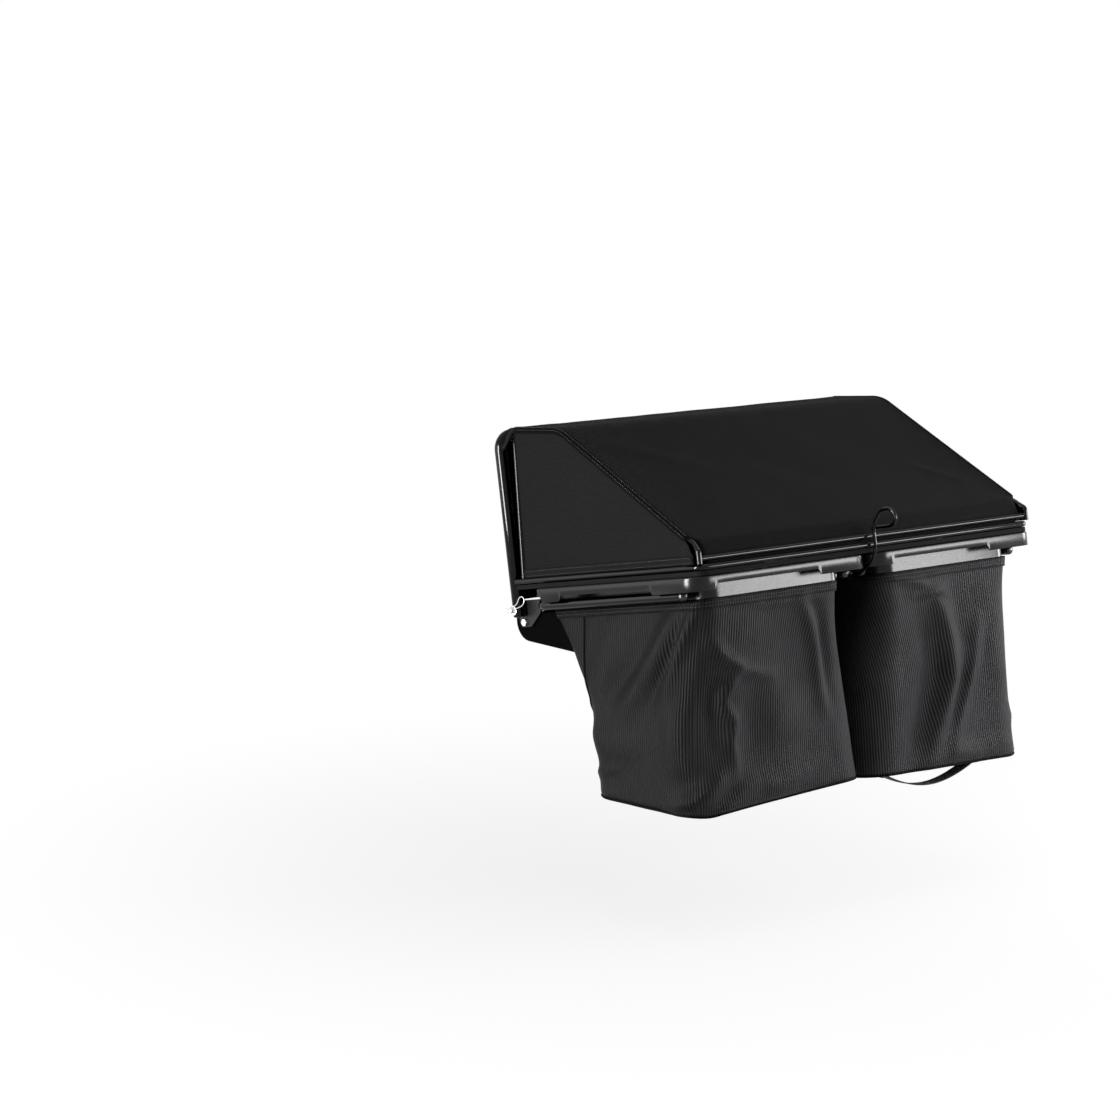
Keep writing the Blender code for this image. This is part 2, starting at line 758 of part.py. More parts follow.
def plan_loop(side, inner, outer, front, rear, radius, corner_steps=3):
    """Stations round a bag's rounded rectangle, the same count for every loop.

    Each station is (across, back, corner turn), and the turn is None on a straight run.
    """
    runs = {
        "rear": (inner, outer, REAR_TAB_LEFT, REAR_TAB_RIGHT),
        "side": (front, rear, SIDE_TAB_FRONT, SIDE_TAB_REAR),
    }
    stations = []
    corners = (
        ((inner + radius, front + radius), math.pi),
        ((outer - radius, front + radius), 1.5 * math.pi),
        ((outer - radius, rear - radius), 0),
        ((inner + radius, rear - radius), 0.5 * math.pi),
    )
    for number, (centre, turn) in enumerate(corners):
        for i in range(corner_steps + 1):
            angle = turn + math.pi / 2 * i / corner_steps
            spot = Vector(centre) + radius * Vector((math.cos(angle), math.sin(angle)))
            stations.append((side * spot.x, spot.y, (number, i)))
        if number == 0:
            continue
        start, end, near, far = runs["rear" if number == 2 else "side"]
        if number == 2 and side < 0:
            near, far = far, near
        low = start + radius + near
        high = end - radius - far
        marks = (low, low + RIM_STEP, high - RIM_STEP, high)
        if number == 1:
            stations += [(side * outer, mark, None) for mark in marks]
        if number == 2:
            stations += [(side * mark, rear, None) for mark in reversed(marks)]
        if number == 3:
            stations += [(side * inner, mark, None) for mark in reversed(marks)]
    return stations


def skirt_bottoms(stations, corner_steps=3):
    """Height of the skirt's lower edge at each station: tabs at the corners, notches between."""
    heights = []
    straight = 0
    for _, _, corner in stations:
        if corner is None:
            low = straight % 4 in (0, 3)
            heights.append(RIM_TAB_BOTTOM if low else RIM_NOTCH_BOTTOM)
            straight += 1
            continue
        number, step = corner
        front_side = (number == 0 and step > 0) or (number == 1 and step < corner_steps)
        heights.append(RIM_NOTCH_BOTTOM if front_side else RIM_TAB_BOTTOM)
    return heights


def make_rim(name, side):
    soften = 0.002
    skirt = (RIM_SPLIT, RIM_OUTER, RIM_FRONT, RIM_REAR)
    band = (BAND_INNER, BAND_OUTER, BAND_FRONT, BAND_REAR)

    def loop(box, inward, radius):
        inner, outer, front, rear = box
        return plan_loop(
            side, inner + inward, outer - inward, front + inward, rear - inward, radius - inward
        )

    bottoms = skirt_bottoms(loop(skirt, 0, RIM_CORNER))
    flat = [0.0] * len(bottoms)
    rows = [
        (loop(skirt, 0, RIM_CORNER), bottoms),
        (loop(skirt, 0, RIM_CORNER), [RIM_TOP - soften for _ in flat]),
        (loop(skirt, soften, RIM_CORNER), [RIM_TOP for _ in flat]),
        (loop(band, soften / 2, BAND_CORNER), [RIM_TOP for _ in flat]),
        (loop(band, RIM_WALL, BAND_CORNER), [RIM_TOP - soften for _ in flat]),
        (loop(band, RIM_WALL, BAND_CORNER), [BAND_BOTTOM for _ in flat]),
        (loop(band, 0, BAND_CORNER), [BAND_BOTTOM for _ in flat]),
        (loop(band, 0, BAND_CORNER), [RIM_TOP - RIM_WALL for _ in flat]),
        (loop(skirt, RIM_WALL, RIM_CORNER), [RIM_TOP - RIM_WALL for _ in flat]),
        (loop(skirt, RIM_WALL, RIM_CORNER), bottoms),
    ]
    count = len(flat)
    points = []
    for stations, heights in rows:
        for (across, back, _), height in zip(stations, heights):
            points.append(across_back_up(across, back, height))
    faces = []
    for row in range(len(rows)):
        after = (row + 1) % len(rows)
        for i in range(count):
            j = (i + 1) % count
            faces.append((row * count + i, row * count + j, after * count + j, after * count + i))
    rim = mesh_part(name, points, faces, rim_plastic, tipped)
    smooth(rim)

    rib_bottom = RAIL_UP + RAIL_RADIUS + GAP
    rib_top = RIM_TOP - RIM_WALL / 2
    outer_rib = (BAND_OUTER - RIM_WALL / 2, RIM_OUTER - RIM_WALL / 2)
    inner_rib = (RIM_SPLIT + RIM_WALL / 2, BAND_INNER + RIM_WALL / 2)
    for where, (start, end) in (("outer", outer_rib), ("inner", inner_rib)):
        for i, back in enumerate(RIB_BACKS):
            middle = across_back_up(side * (start + end) / 2, back, (rib_bottom + rib_top) / 2)
            size = (end - start, RIB, rib_top - rib_bottom)
            rib = box_tool(f"{name}_{where}_rib_{i}", size, tipped, Matrix.Translation(middle))
            apply_tool(rim, rib, "UNION")


# Bags: fabric tubs that hang plumb below the rims


def bag_ring(side, share, inward=0.0):
    """One level of the bag, from the rim at 0 to the bottom edge at 1."""
    top_front = plumb_of(BAND_FRONT, BAND_BOTTOM - GAP)
    top_rear = plumb_of(BAND_REAR, BAND_BOTTOM - GAP)
    lean = front_lean(share)
    front_back = top_front[0] + (BAG_FRONT_BOTTOM - top_front[0]) * lean
    rear_back = top_rear[0] + (BAG_REAR_BOTTOM - top_rear[0]) * share**6
    front_up = top_front[1] - (top_front[1] + BAG_DROP_FRONT) * share
    rear_up = top_rear[1] - (top_rear[1] + BAG_DROP_REAR) * share
    swell = BAG_HALF_FLARE * math.sin(math.pi / 2 * min(1, share * 1.25)) ** 1.2 - inward
    radius = BAND_CORNER + (BAG_CORNER - BAND_CORNER) * share - inward
    stations = plan_loop(
        side,
        BAND_INNER - swell,
        BAND_OUTER + swell,
        front_back + inward,
        rear_back - inward,
        radius,
    )
    ring = []
    for across, back, _ in stations:
        along = (back - front_back) / (rear_back - front_back)
        up = front_up + (rear_up - front_up) * along
        ring.append(across_back_up(across, back, up))
    return ring


def bag_wall(side, inward):
    """The levels of one face of the cloth, with the bottom edge rounded in."""
    rings = [bag_ring(side, share, inward) for share in BAG_LEVELS]
    bottom = bag_ring(side, 1, inward)
    centre = sum(bottom, Vector()) / len(bottom)
    for shrink in (BAG_EDGE * 0.45, BAG_EDGE * 1.4):
        ring = [spot + (centre - spot).normalized() * shrink for spot in bottom]
        rings.append([spot + Vector((0, 0, inward)) for spot in ring])
    return rings


def make_bag(name, side):
    outside = bag_wall(side, 0)
    inside = bag_wall(side, BAG_CLOTH)
    rings = outside[::-1] + inside
    count = len(rings[0])
    points = [spot for ring in rings for spot in ring]
    faces = [tuple(range(count))]
    for row in range(len(rings) - 1):
        for i in range(count):
            j = (i + 1) % count
            faces.append(
                (row * count + i, row * count + j, (row + 1) * count + j, (row + 1) * count + i)
            )
    last = (len(rings) - 1) * count
    faces.append(tuple(range(last, last + count)))
    bag = mesh_part(name, points, faces, bag_cloth, plumb)
    smooth(bag, math.radians(60))


def strip_outline(path, thickness):
    """The closed edge of a thin strip that follows a flat path."""
    over = []
    under = []
    for i, spot in enumerate(path):
        ahead = path[min(i + 1, len(path) - 1)] - path[max(i - 1, 0)]
        normal = Vector((-ahead.y, ahead.x)).normalized() * thickness / 2
        over.append(spot + normal)
        under.append(spot - normal)
    return over + under[::-1]


def make_strap(name, start, back, sag):
    """Webbing hand strap sewn under a bag by its two ends."""
    slope = (BAG_DROP_FRONT - BAG_DROP_REAR) / (BAG_REAR_BOTTOM - BAG_FRONT_BOTTOM)
    up = -BAG_DROP_FRONT + (back - BAG_FRONT_BOTTOM) * slope
    top = -GAP - STRAP_THICK / 2
    hanging = STRAP_LENGTH - 2 * STRAP_SEAM
    path = [Vector((0, top))]
    for i in range(17):
        share = i / 16
        drop = sag * math.sin(math.pi * share) ** 2
        path.append(Vector((STRAP_SEAM + share * hanging, top - drop)))
    path.append(Vector((STRAP_LENGTH, top)))
    place = Matrix.Translation(across_back_up(start, back, up))
    leaned = place @ Matrix.Rotation(-math.atan(slope), 4, "X") @ FACING_BACK
    flat_part(name, [strip_outline(path, STRAP_THICK)], STRAP_WIDTH, webbing, plumb, leaned)


# Latch: a bent wire that pivots between the inner rails and hooks over the hood's rear rail


def make_latch():
    eye = LATCH_BOLT + GAP + LATCH_WIRE
    turns = [math.radians(a) for a in range(-264, -40, 18)]
    beside = 2 * LATCH_WIRE + 0.0006
    rise = [
        (0, 0.012, -0.0078),
        (0, 0.030, -0.004),
        (0, 0.057, 0.009),
        (0, 0.072, 0.021),
        (0, 0.0800, 0.042),
        (0, 0.0800, 0.064),
        (0, 0.084, 0.080),
        (0, 0.094, 0.093),
        (0.0005, 0.105, 0.102),
        (0.0015, 0.119, 0.104),
        (0.003, 0.131, 0.096),
        (0.0045, 0.132, 0.083),
        (0.0055, 0.122, 0.0755),
        (beside, 0.104, 0.0735),
        (beside, 0.088, 0.0735),
        (beside, HOOK_NOSE, 0.0725),
    ]
    lower = [across_back_up(0, eye * math.cos(a), eye * math.sin(a)) for a in turns]
    upper = [across_back_up(*spot) for spot in rise]
    path = lower[:-1] + smooth_path([lower[-1], *upper], 3)
    tube("latch_rod", path, LATCH_WIRE, gloss_paint, latch, 1)

    reach = RAIL_INNER + RAIL_RADIUS + GAP
    profile = [
        (0, reach + 0.004),
        (0.0062, reach + 0.003),
        (0.0070, reach),
        (LATCH_BOLT, reach),
        (LATCH_BOLT, -reach),
        (0.0070, -reach),
        (0.0062, -reach - 0.003),
        (0, -reach - 0.004),
    ]
    place = Matrix.Translation(latch_centre)
    turned("latch_pivot_bolt", profile, zinc, tipped, place @ AXIS_ACROSS, 20)
    inside = LATCH_WIRE + GAP
    outside = RAIL_INNER - RAIL_RADIUS - GAP
    for side, word in ((-1, "left"), (1, "right")):
        low, high = sorted((side * inside, side * outside))
        hole = LATCH_BOLT + GAP
        rim = LATCH_BOLT + SPACER_WALL
        ring = [(hole, high), (rim, high), (rim, low), (hole, low)]
        turned("latch_spacer_" + word, ring, nylon, tipped, place @ AXIS_ACROSS, 20)


# Hood frame


def make_hoop():
    corners = [
        across_back_up(-HOOP_HALF_WIDTH, 0, -LEG_BELOW_HINGE),
        across_back_up(-HOOP_HALF_WIDTH, 0, HOOP_HEIGHT),
        across_back_up(HOOP_HALF_WIDTH, 0, HOOP_HEIGHT),
        across_back_up(HOOP_HALF_WIDTH, 0, -LEG_BELOW_HINGE),
    ]
    path = rounded_path(corners, HOOP_CORNER)
    hoop = as_mesh(tube("hood_hoop", path, HOOP_TUBE, gloss_paint, hood, 4))
    drill = cylinder_tool("hoop_drill", PIN_RADIUS + GAP, 1.0, hood, AXIS_ACROSS)
    apply_tool(hoop, drill, "DIFFERENCE")


def make_base_rail():
    start = HOOP_TUBE + GAP
    corners = [
        across_back_up(-BASE_HALF_WIDTH, start, BASE_HEIGHT),
        across_back_up(-BASE_HALF_WIDTH, HOOD_LENGTH, BASE_HEIGHT),
        across_back_up(BASE_HALF_WIDTH, HOOD_LENGTH, BASE_HEIGHT),
        across_back_up(BASE_HALF_WIDTH, start, BASE_HEIGHT),
    ]
    tube("hood_base_rail", rounded_path(corners, BASE_CORNER), BASE_TUBE, gloss_paint, hood)


def make_rear_rail():
    half = BASE_HALF_WIDTH - RAIL_TUBE - GAP
    ends = [across_back_up(side * half, REAR_RAIL_BACK, REAR_RAIL_HEIGHT) for side in (-1, 1)]
    tube("hood_rear_rail", ends, RAIL_TUBE, gloss_paint, hood)


def side_rail_bends():
    """The shoulder bend and the foot of the slope, as (back, up) pairs."""
    shoulder = Vector((SHOULDER_BACK, SHOULDER_HEIGHT - SHOULDER_FALL))
    foot = Vector((HOOD_LENGTH - POST_JOG, REAR_POST_HEIGHT))
    return shoulder, foot


def make_side_rail(name, side):
    """From the hoop's shoulder back, down the slope and onto the base rail's corner."""
    shoulder, foot = side_rail_bends()
    post_top = (foot.y + BASE_TOP) / 2 + RAIL_TUBE
    start = HOOP_HALF_WIDTH - SIDE_RAIL_JOG
    corners = [
        across_back_up(side * start, HOOP_TUBE + GAP, SHOULDER_HEIGHT),
        across_back_up(side * start, HOOP_TUBE + SIDE_RAIL_JOG_STARTS, SHOULDER_HEIGHT),
        across_back_up(side * HOOP_HALF_WIDTH, HOOP_TUBE + SIDE_RAIL_JOG_ENDS, SHOULDER_HEIGHT),
        across_back_up(side * HOOP_HALF_WIDTH, *shoulder),
        across_back_up(side * HOOP_HALF_WIDTH, *foot),
        across_back_up(side * BASE_HALF_WIDTH, HOOD_LENGTH, post_top),
        across_back_up(side * BASE_HALF_WIDTH, HOOD_LENGTH, BASE_TOP + GAP),
    ]
    path = [corners[0]]
    bends = zip(corners, corners[1:], corners[2:], SIDE_RAIL_RADII)
    for before, corner, after, radius in bends:
        path += corner_arc(before, corner, after, radius, 3)
    tube(name, path + [corners[-1]], RAIL_TUBE, gloss_paint, hood, 2)


def make_front_rod(name, side):
    """The thin rod behind the hoop's leg, from the base rail up to the side rail."""
    foot = across_back_up(side * BASE_HALF_WIDTH, FRONT_ROD_BACK, BASE_TOP + GAP)
    head_up = SHOULDER_HEIGHT - RAIL_TUBE - GAP - FRONT_ROD_SHORT
    head_across = side * (HOOP_HALF_WIDTH + FRONT_ROD_SPREAD)
    head = across_back_up(head_across, FRONT_ROD_BACK + FRONT_ROD_LEAN, head_up)
    tube(name, [foot, head], FRONT_ROD, gloss_paint, hood, 2)


def make_cross_bow():
    half = HOOP_HALF_WIDTH - RAIL_TUBE - GAP
    up = SHOULDER_HEIGHT - SHOULDER_FALL - BOW_DROP
    ends = [across_back_up(side * half, SHOULDER_BACK + BOW_BACK, up) for side in (-1, 1)]
    tube("hood_cross_bow", ends, RAIL_TUBE, gloss_paint, hood)


def make_seal():
    """Rubber strip under the base rail, on which the hood rests on the rims."""
    half = SEAL_WIDTH / 2
    start = HOOP_TUBE + SEAL_FRONT

    def bent(offset):
        corners = [
            Vector((-BASE_HALF_WIDTH - offset, -start)),
            Vector((-BASE_HALF_WIDTH - offset, -HOOD_LENGTH - offset)),
            Vector((BASE_HALF_WIDTH + offset, -HOOD_LENGTH - offset)),
            Vector((BASE_HALF_WIDTH + offset, -start)),
        ]
        return rounded_path(corners, BASE_CORNER + offset)

    place = Matrix.Translation((0, 0, SEAL_MIDDLE))
    outline = bent(half) + bent(-half)[::-1]
    flat_part("hood_seal", [outline], SEAL_THICK, seal_rubber, hood, place)


# Hood cover, front panel and chute inlet


def cover_path():
    """Middle of the top cloth, from above the hoop, over the side rails, to the rear rail."""
    over = HOOP_HEIGHT + HOOP_TUBE + GAP + CLOTH / 2
    lift = RAIL_TUBE + GAP + CLOTH / 2
    shoulder, foot = side_rail_bends()
    down = (foot - shoulder).normalized()
    normal = Vector((-down.y, down.x))
    peak = shoulder + normal * lift - down * COVER_PEAK
    heel = foot + normal * lift + down * COVER_HEEL
    start = Vector((COVER_FRONT_BACK, over))
    ridge = Vector((COVER_SIDE_FRONT_TOP + 0.001, over - COVER_FALL))
    hem = Vector((REAR_RAIL_BACK, REAR_RAIL_HEIGHT + RAIL_TUBE + GAP))
    path = [start, ridge]
    path += corner_arc(ridge, peak, heel, COVER_SHOULDER_BEND, 8)
    path += corner_arc(peak, heel, hem, COVER_HEEL_BEND, 4)
    return path + [hem]


def make_cover_top():
    outline = strip_outline(cover_path(), CLOTH)
    cover = as_mesh(
        flat_part(
            "cover_top_panel", [outline], 2 * COVER_OUTSIDE, hood_cloth, hood, FACING_SIDE
        )
    )
    start = HOOP_HALF_WIDTH - RAIL_TUBE - GAP
    foot = side_rail_bends()[1]
    size = (COVER_NOTCH, COVER_NOTCH, 2 * COVER_NOTCH)
    back = foot.x + CLOTH + COVER_NOTCH / 2
    for side in (-1, 1):
        middle = across_back_up(side * (start + COVER_NOTCH / 2), back, foot.y)
        corner = box_tool(f"cover_corner_{side}", size, hood, Matrix.Translation(middle))
        apply_tool(cover, corner, "DIFFERENCE")


def make_cover_side(name, side):
    """One side cloth: front edge behind the thin rod, hem on the base rail."""
    path = cover_path()
    drop = CLOTH / 2 + GAP
    rear = HOOD_LENGTH - POST_JOG - RAIL_TUBE
    edge = [spot for spot in path if spot.x < rear]
    slope = path[len(edge)] - edge[-1]
    edge.append(edge[-1] + slope * (rear - edge[-1].x) / slope.x)
    edge.append(edge[-1] + slope)
    top = []
    for before, spot, after in zip(edge, edge[1:], edge[2:]):
        ahead = (after - before).normalized()
        top.append(spot + Vector((ahead.y, -ahead.x)) * drop)
    front_top = Vector((COVER_SIDE_FRONT_TOP, HOOP_HEIGHT + HOOP_TUBE - COVER_FALL))
    front_foot = Vector((COVER_SIDE_FRONT, BASE_TOP + GAP))
    rear_foot = Vector((rear, BASE_TOP + GAP))
    outline = [front_foot, front_top, *top, rear_foot]
    place = Matrix.Translation((side * (COVER_OUTSIDE - CLOTH / 2), 0, 0))
    flat_part(name, [outline], CLOTH, side_cloth, hood, place @ FACING_SIDE)


def make_piping(name, side):
    across = side * (COVER_OUTSIDE + GAP + PIPING)
    path = [across_back_up(across, spot.x, spot.y) for spot in cover_path()[1:-1]]
    tube(name, path, PIPING, piping_cloth, hood, 1)


def make_front_panel():
    half = HOOP_HALF_WIDTH - HOOP_TUBE - GAP
    top = HOOP_HEIGHT - HOOP_TUBE - GAP
    corner = HOOP_CORNER - HOOP_TUBE - GAP
    corners = [
        Vector((-half, FRONT_PANEL_BOTTOM)),
        Vector((half, FRONT_PANEL_BOTTOM)),
        Vector((half, top)),
        Vector((-half, top)),
    ]
    outline = rounded_loop(corners, [0, 0, corner, corner])
    holes = [circle(INLET_RADIUS + GAP, (INLET_ACROSS, INLET_HEIGHT), 40)]
    bolt_circle = INLET_RADIUS + COLLAR_FLANGE / 2
    for spot in circle(bolt_circle, (INLET_ACROSS, INLET_HEIGHT), COLLAR_SCREWS):
        holes.append(circle(COLLAR_SCREW + GAP, spot, 10))
    flat_part("hood_front_panel", [outline, *holes], FRONT_PANEL, rim_plastic, hood, FACING_BACK)


def make_collar():
    """The turned neck that the mower's chute pushes over, screwed to the front panel."""
    face = FRONT_PANEL / 2
    inner = INLET_RADIUS - COLLAR_WALL
    flange = INLET_RADIUS + COLLAR_FLANGE
    profile = [
        (inner, face + COLLAR_LENGTH),
        (INLET_RADIUS, face + COLLAR_LENGTH),
        (INLET_RADIUS, face + GAP + COLLAR_WALL),
        (flange, face + GAP + COLLAR_WALL),
        (flange, face + GAP),
        (INLET_RADIUS, face + GAP),
        (INLET_RADIUS, -face),
        (inner, -face),
    ]
    forward = Matrix.Translation(across_back_up(INLET_ACROSS, 0, INLET_HEIGHT))
    matrix = forward @ Matrix.Rotation(-math.pi / 2, 4, "X")
    collar = as_mesh(turned("chute_inlet_collar", profile, apron_plastic, hood, matrix, 32))
    outside = face + GAP + COLLAR_WALL + GAP
    head = [
        (0, outside + SCREW_HEAD_HEIGHT),
        (SCREW_HEAD * 2 / 3, outside + SCREW_HEAD_HEIGHT * 0.8),
        (SCREW_HEAD, outside),
        (COLLAR_SCREW, outside),
        (COLLAR_SCREW, -face - SCREW_PAST),
        (0, -face - SCREW_PAST),
    ]
    bolt_circle = INLET_RADIUS + COLLAR_FLANGE / 2
    for i, spot in enumerate(circle(bolt_circle, (0, 0), COLLAR_SCREWS), 1):
        place = matrix @ Matrix.Translation((spot.x, -spot.y, 0))
        drill = cylinder_tool(f"collar_drill_{i}", COLLAR_SCREW + GAP, 0.03, hood, place, 10)
        apply_tool(collar, drill, "DIFFERENCE")
        turned(f"collar_screw_{i}", head, zinc, hood, place, 10)


make_hitch()
make_crossbar()
make_end_caps()
make_apron()
for side, word in ((-1, "left"), (1, "right")):
    make_gusset("post_gusset_" + word, side)
    make_bag_rail("bag_rail_" + word, side)
    make_hinge(side, word)
    make_apron_bolt("apron_bolt_" + word, side)
    make_rim("bag_rim_" + word, side)
    make_bag("bag_" + word, side)
    make_side_rail("hood_side_rail_" + word, side)
    make_front_rod("hood_front_rod_" + word, side)
    make_cover_side("cover_side_panel_" + word, side)
    make_piping("cover_piping_" + word, side)
bag_inside = BAND_INNER - BAG_HALF_FLARE
across = bag_inside + RIGHT_STRAP_ACROSS
make_strap("bag_strap_right", across, BAG_REAR_BOTTOM - RIGHT_STRAP_FORWARD, STRAP_SAG)
across = -bag_inside - LEFT_STRAP_ACROSS
make_strap("bag_strap_left", across, BAG_REAR_BOTTOM - LEFT_STRAP_FORWARD, LEFT_STRAP_SAG)
make_latch()
make_hoop()
make_base_rail()
make_rear_rail()
make_cross_bow()
make_seal()
make_cover_top()
make_front_panel()
make_collar()
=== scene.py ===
import json
import math

import bmesh
import bpy
import numpy as np
from mathutils import Matrix, Vector, noise


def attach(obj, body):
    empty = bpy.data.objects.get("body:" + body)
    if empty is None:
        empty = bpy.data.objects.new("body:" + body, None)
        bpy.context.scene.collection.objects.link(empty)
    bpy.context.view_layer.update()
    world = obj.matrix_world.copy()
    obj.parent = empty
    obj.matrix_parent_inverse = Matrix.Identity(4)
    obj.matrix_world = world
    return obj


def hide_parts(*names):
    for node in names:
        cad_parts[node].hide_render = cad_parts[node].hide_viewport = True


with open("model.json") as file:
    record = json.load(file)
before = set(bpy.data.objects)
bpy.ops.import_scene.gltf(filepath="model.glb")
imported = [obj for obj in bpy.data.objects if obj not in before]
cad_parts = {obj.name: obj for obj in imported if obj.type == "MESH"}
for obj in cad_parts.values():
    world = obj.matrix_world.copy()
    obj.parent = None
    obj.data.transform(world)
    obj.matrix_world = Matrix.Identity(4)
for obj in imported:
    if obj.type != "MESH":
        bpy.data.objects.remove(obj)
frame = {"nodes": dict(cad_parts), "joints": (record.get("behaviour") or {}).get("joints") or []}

# Blender's own cube, camera and lamp go first, so that only the collector is measured.
for name in ("Cube", "Camera", "Light"):
    if name in bpy.data.objects:
        bpy.data.objects.remove(bpy.data.objects[name])
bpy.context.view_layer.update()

# The stance. The hood, the rails and the rims stand in a frame whose rear is tipped up about
# the hinge, and a place on it is given by how far across, back and up of the hinge it lies.
hinge = Vector(frame["joints"][0]["pos_m"])
tilt = math.radians(10.5)
tipped = Matrix.Translation(hinge) @ Matrix.Rotation(-tilt, 4, "X")


def at(across, back, up):
    return tipped @ Vector((across, -back, up))


def reach(node):
    """Least and greatest (across, back, up) of a CAD node in the tipped frame."""
    home = tipped.inverted()
    spots = np.array([home @ vert.co for vert in frame["nodes"][node].data.vertices])
    spots[:, 1] *= -1
    return Vector(spots.min(0)), Vector(spots.max(0))


# Finishes. Their unevenness comes from noises in the object's own metres, and the ribs and
# threads of the cloths come from a UV in metres.
def linear(colour):
    """An sRGB hex colour as the linear values that the shader takes."""
    parts = [int(colour[i : i + 2], 16) / 255 for i in (1, 3, 5)]
    return [p / 12.92 if p <= 0.04045 else ((p + 0.055) / 1.055) ** 2.4 for p in parts] + [1]


def add(tree, kind, look=None, values=None, links=None):
    """Adds a node, with its settings, its sockets' values and its links."""
    node = tree.nodes.new("ShaderNode" + kind)
    for key, value in (look or {}).items():
        setattr(node, key, value)
    for key, value in (values or {}).items():
        node.inputs[key].default_value = value
    for key, socket in (links or {}).items():
        tree.links.new(socket, node.inputs[key])
    return node


def new_finish(name, colour, **values):
    """A material whose shader has the colour and the named socket values."""
    made = bpy.data.materials.new(name)
    made.use_nodes = True
    shader = made.node_tree.nodes["Principled BSDF"]
    shader.inputs["Base Color"].default_value = linear(colour)
    for key, value in values.items():
        shader.inputs[key.replace("_", " ")].default_value = value
    return made, made.node_tree, shader


def uneven(tree, shader, place, grain, height, dull, shine):
    """Bump and roughness from one noise whose grain is a real size in metres."""
    specks = add(
        tree, "TexNoise", values={"Scale": 1 / grain, "Detail": 3.0}, links={"Vector": place}
    )
    bump = add(
        tree, "Bump", values={"Strength": 0.6, "Distance": height},
        links={"Height": specks.outputs[0]},
    )
    spread = add(
        tree, "MapRange",
        values={"From Min": 0.3, "From Max": 0.7, "To Min": shine, "To Max": dull},
        links={"Value": specks.outputs[0]},
    )
    tree.links.new(bump.outputs[0], shader.inputs["Normal"])
    tree.links.new(spread.outputs[0], shader.inputs["Roughness"])


def grained_finish(name, colour, grain, height, dull, shine, **values):
    """A finish of one colour, with bump and roughness from a noise of that grain."""
    made, tree, shader = new_finish(name, colour, **values)
    place = add(tree, "TexCoord").outputs["Object"]
    uneven(tree, shader, place, grain, height, dull, shine)
    return made


# Gloss black powder coat on the bent steel tubes: a thin, even film with a slight orange
# peel, which breaks the edge of each highlight, under a clear gloss skin.
gloss_coat = grained_finish(
    "gloss_black_powder_coat", "#040405", 0.009, 0.00002, 0.16, 0.09,
    Specular_IOR_Level=0.15, Coat_Weight=0.06, Coat_Roughness=0.03,
)

# Satin black powder coat on the plates and the box sections, with a finer, duller grain.
satin_coat = grained_finish(
    "satin_black_powder_coat", "#0c0c0d", 0.0015, 0.00005, 0.50, 0.36, Specular_IOR_Level=0.25
)

# Polypropylene, injection moulded: dark, satin, with a fine spark-eroded grain and faint
# flow marks, so that it turns light grey wherever a wide lamp is mirrored in it.
rim_plastic, tree, shader = new_finish(
    "moulded_polypropylene", "#0e0e0f", Specular_IOR_Level=0.21,
)
place = add(tree, "TexCoord").outputs["Object"]
uneven(tree, shader, place, 0.0012, 0.00002, 0.30, 0.20)
flow = add(tree, "TexNoise", values={"Scale": 9.0, "Detail": 4.0}, links={"Vector": place})
blotch = add(tree, "ValToRGB", links={"Fac": flow.outputs[0]})
blotch.color_ramp.elements[0].position = 0.35
blotch.color_ramp.elements[0].color = linear("#0d0d0e")
blotch.color_ramp.elements[1].position = 0.70
blotch.color_ramp.elements[1].color = linear("#1a1a1b")
tree.links.new(blotch.outputs[0], shader.inputs["Base Color"])

# Dull black polypropylene of the apron, the front panel and the chute neck.
apron_plastic = grained_finish(
    "grained_black_polypropylene", "#020202", 0.0018, 0.00010, 0.62, 0.50, Specular_IOR_Level=0.01
)

# Soft vinyl caps, pushed on the open tube ends: smooth and fairly glossy.
cap_vinyl = grained_finish(
    "black_vinyl", "#0c0c0d", 0.003, 0.00004, 0.34, 0.24, Specular_IOR_Level=0.45
)

# Rubber sealing strip: dull, with a dusty bloom.
seal_rubber = grained_finish(
    "seal_rubber", "#0a0a0a", 0.0012, 0.00012, 0.90, 0.75, Specular_IOR_Level=0.08
)

# Bright zinc plate on the pins, clips and bolts: a blue-white passivated metal whose
# crystals make the gloss slightly patchy.
bright_zinc = grained_finish(
    "bright_zinc_plate", "#d4d5d2", 0.0022, 0.00003, 0.34, 0.18, Metallic=1.0
)


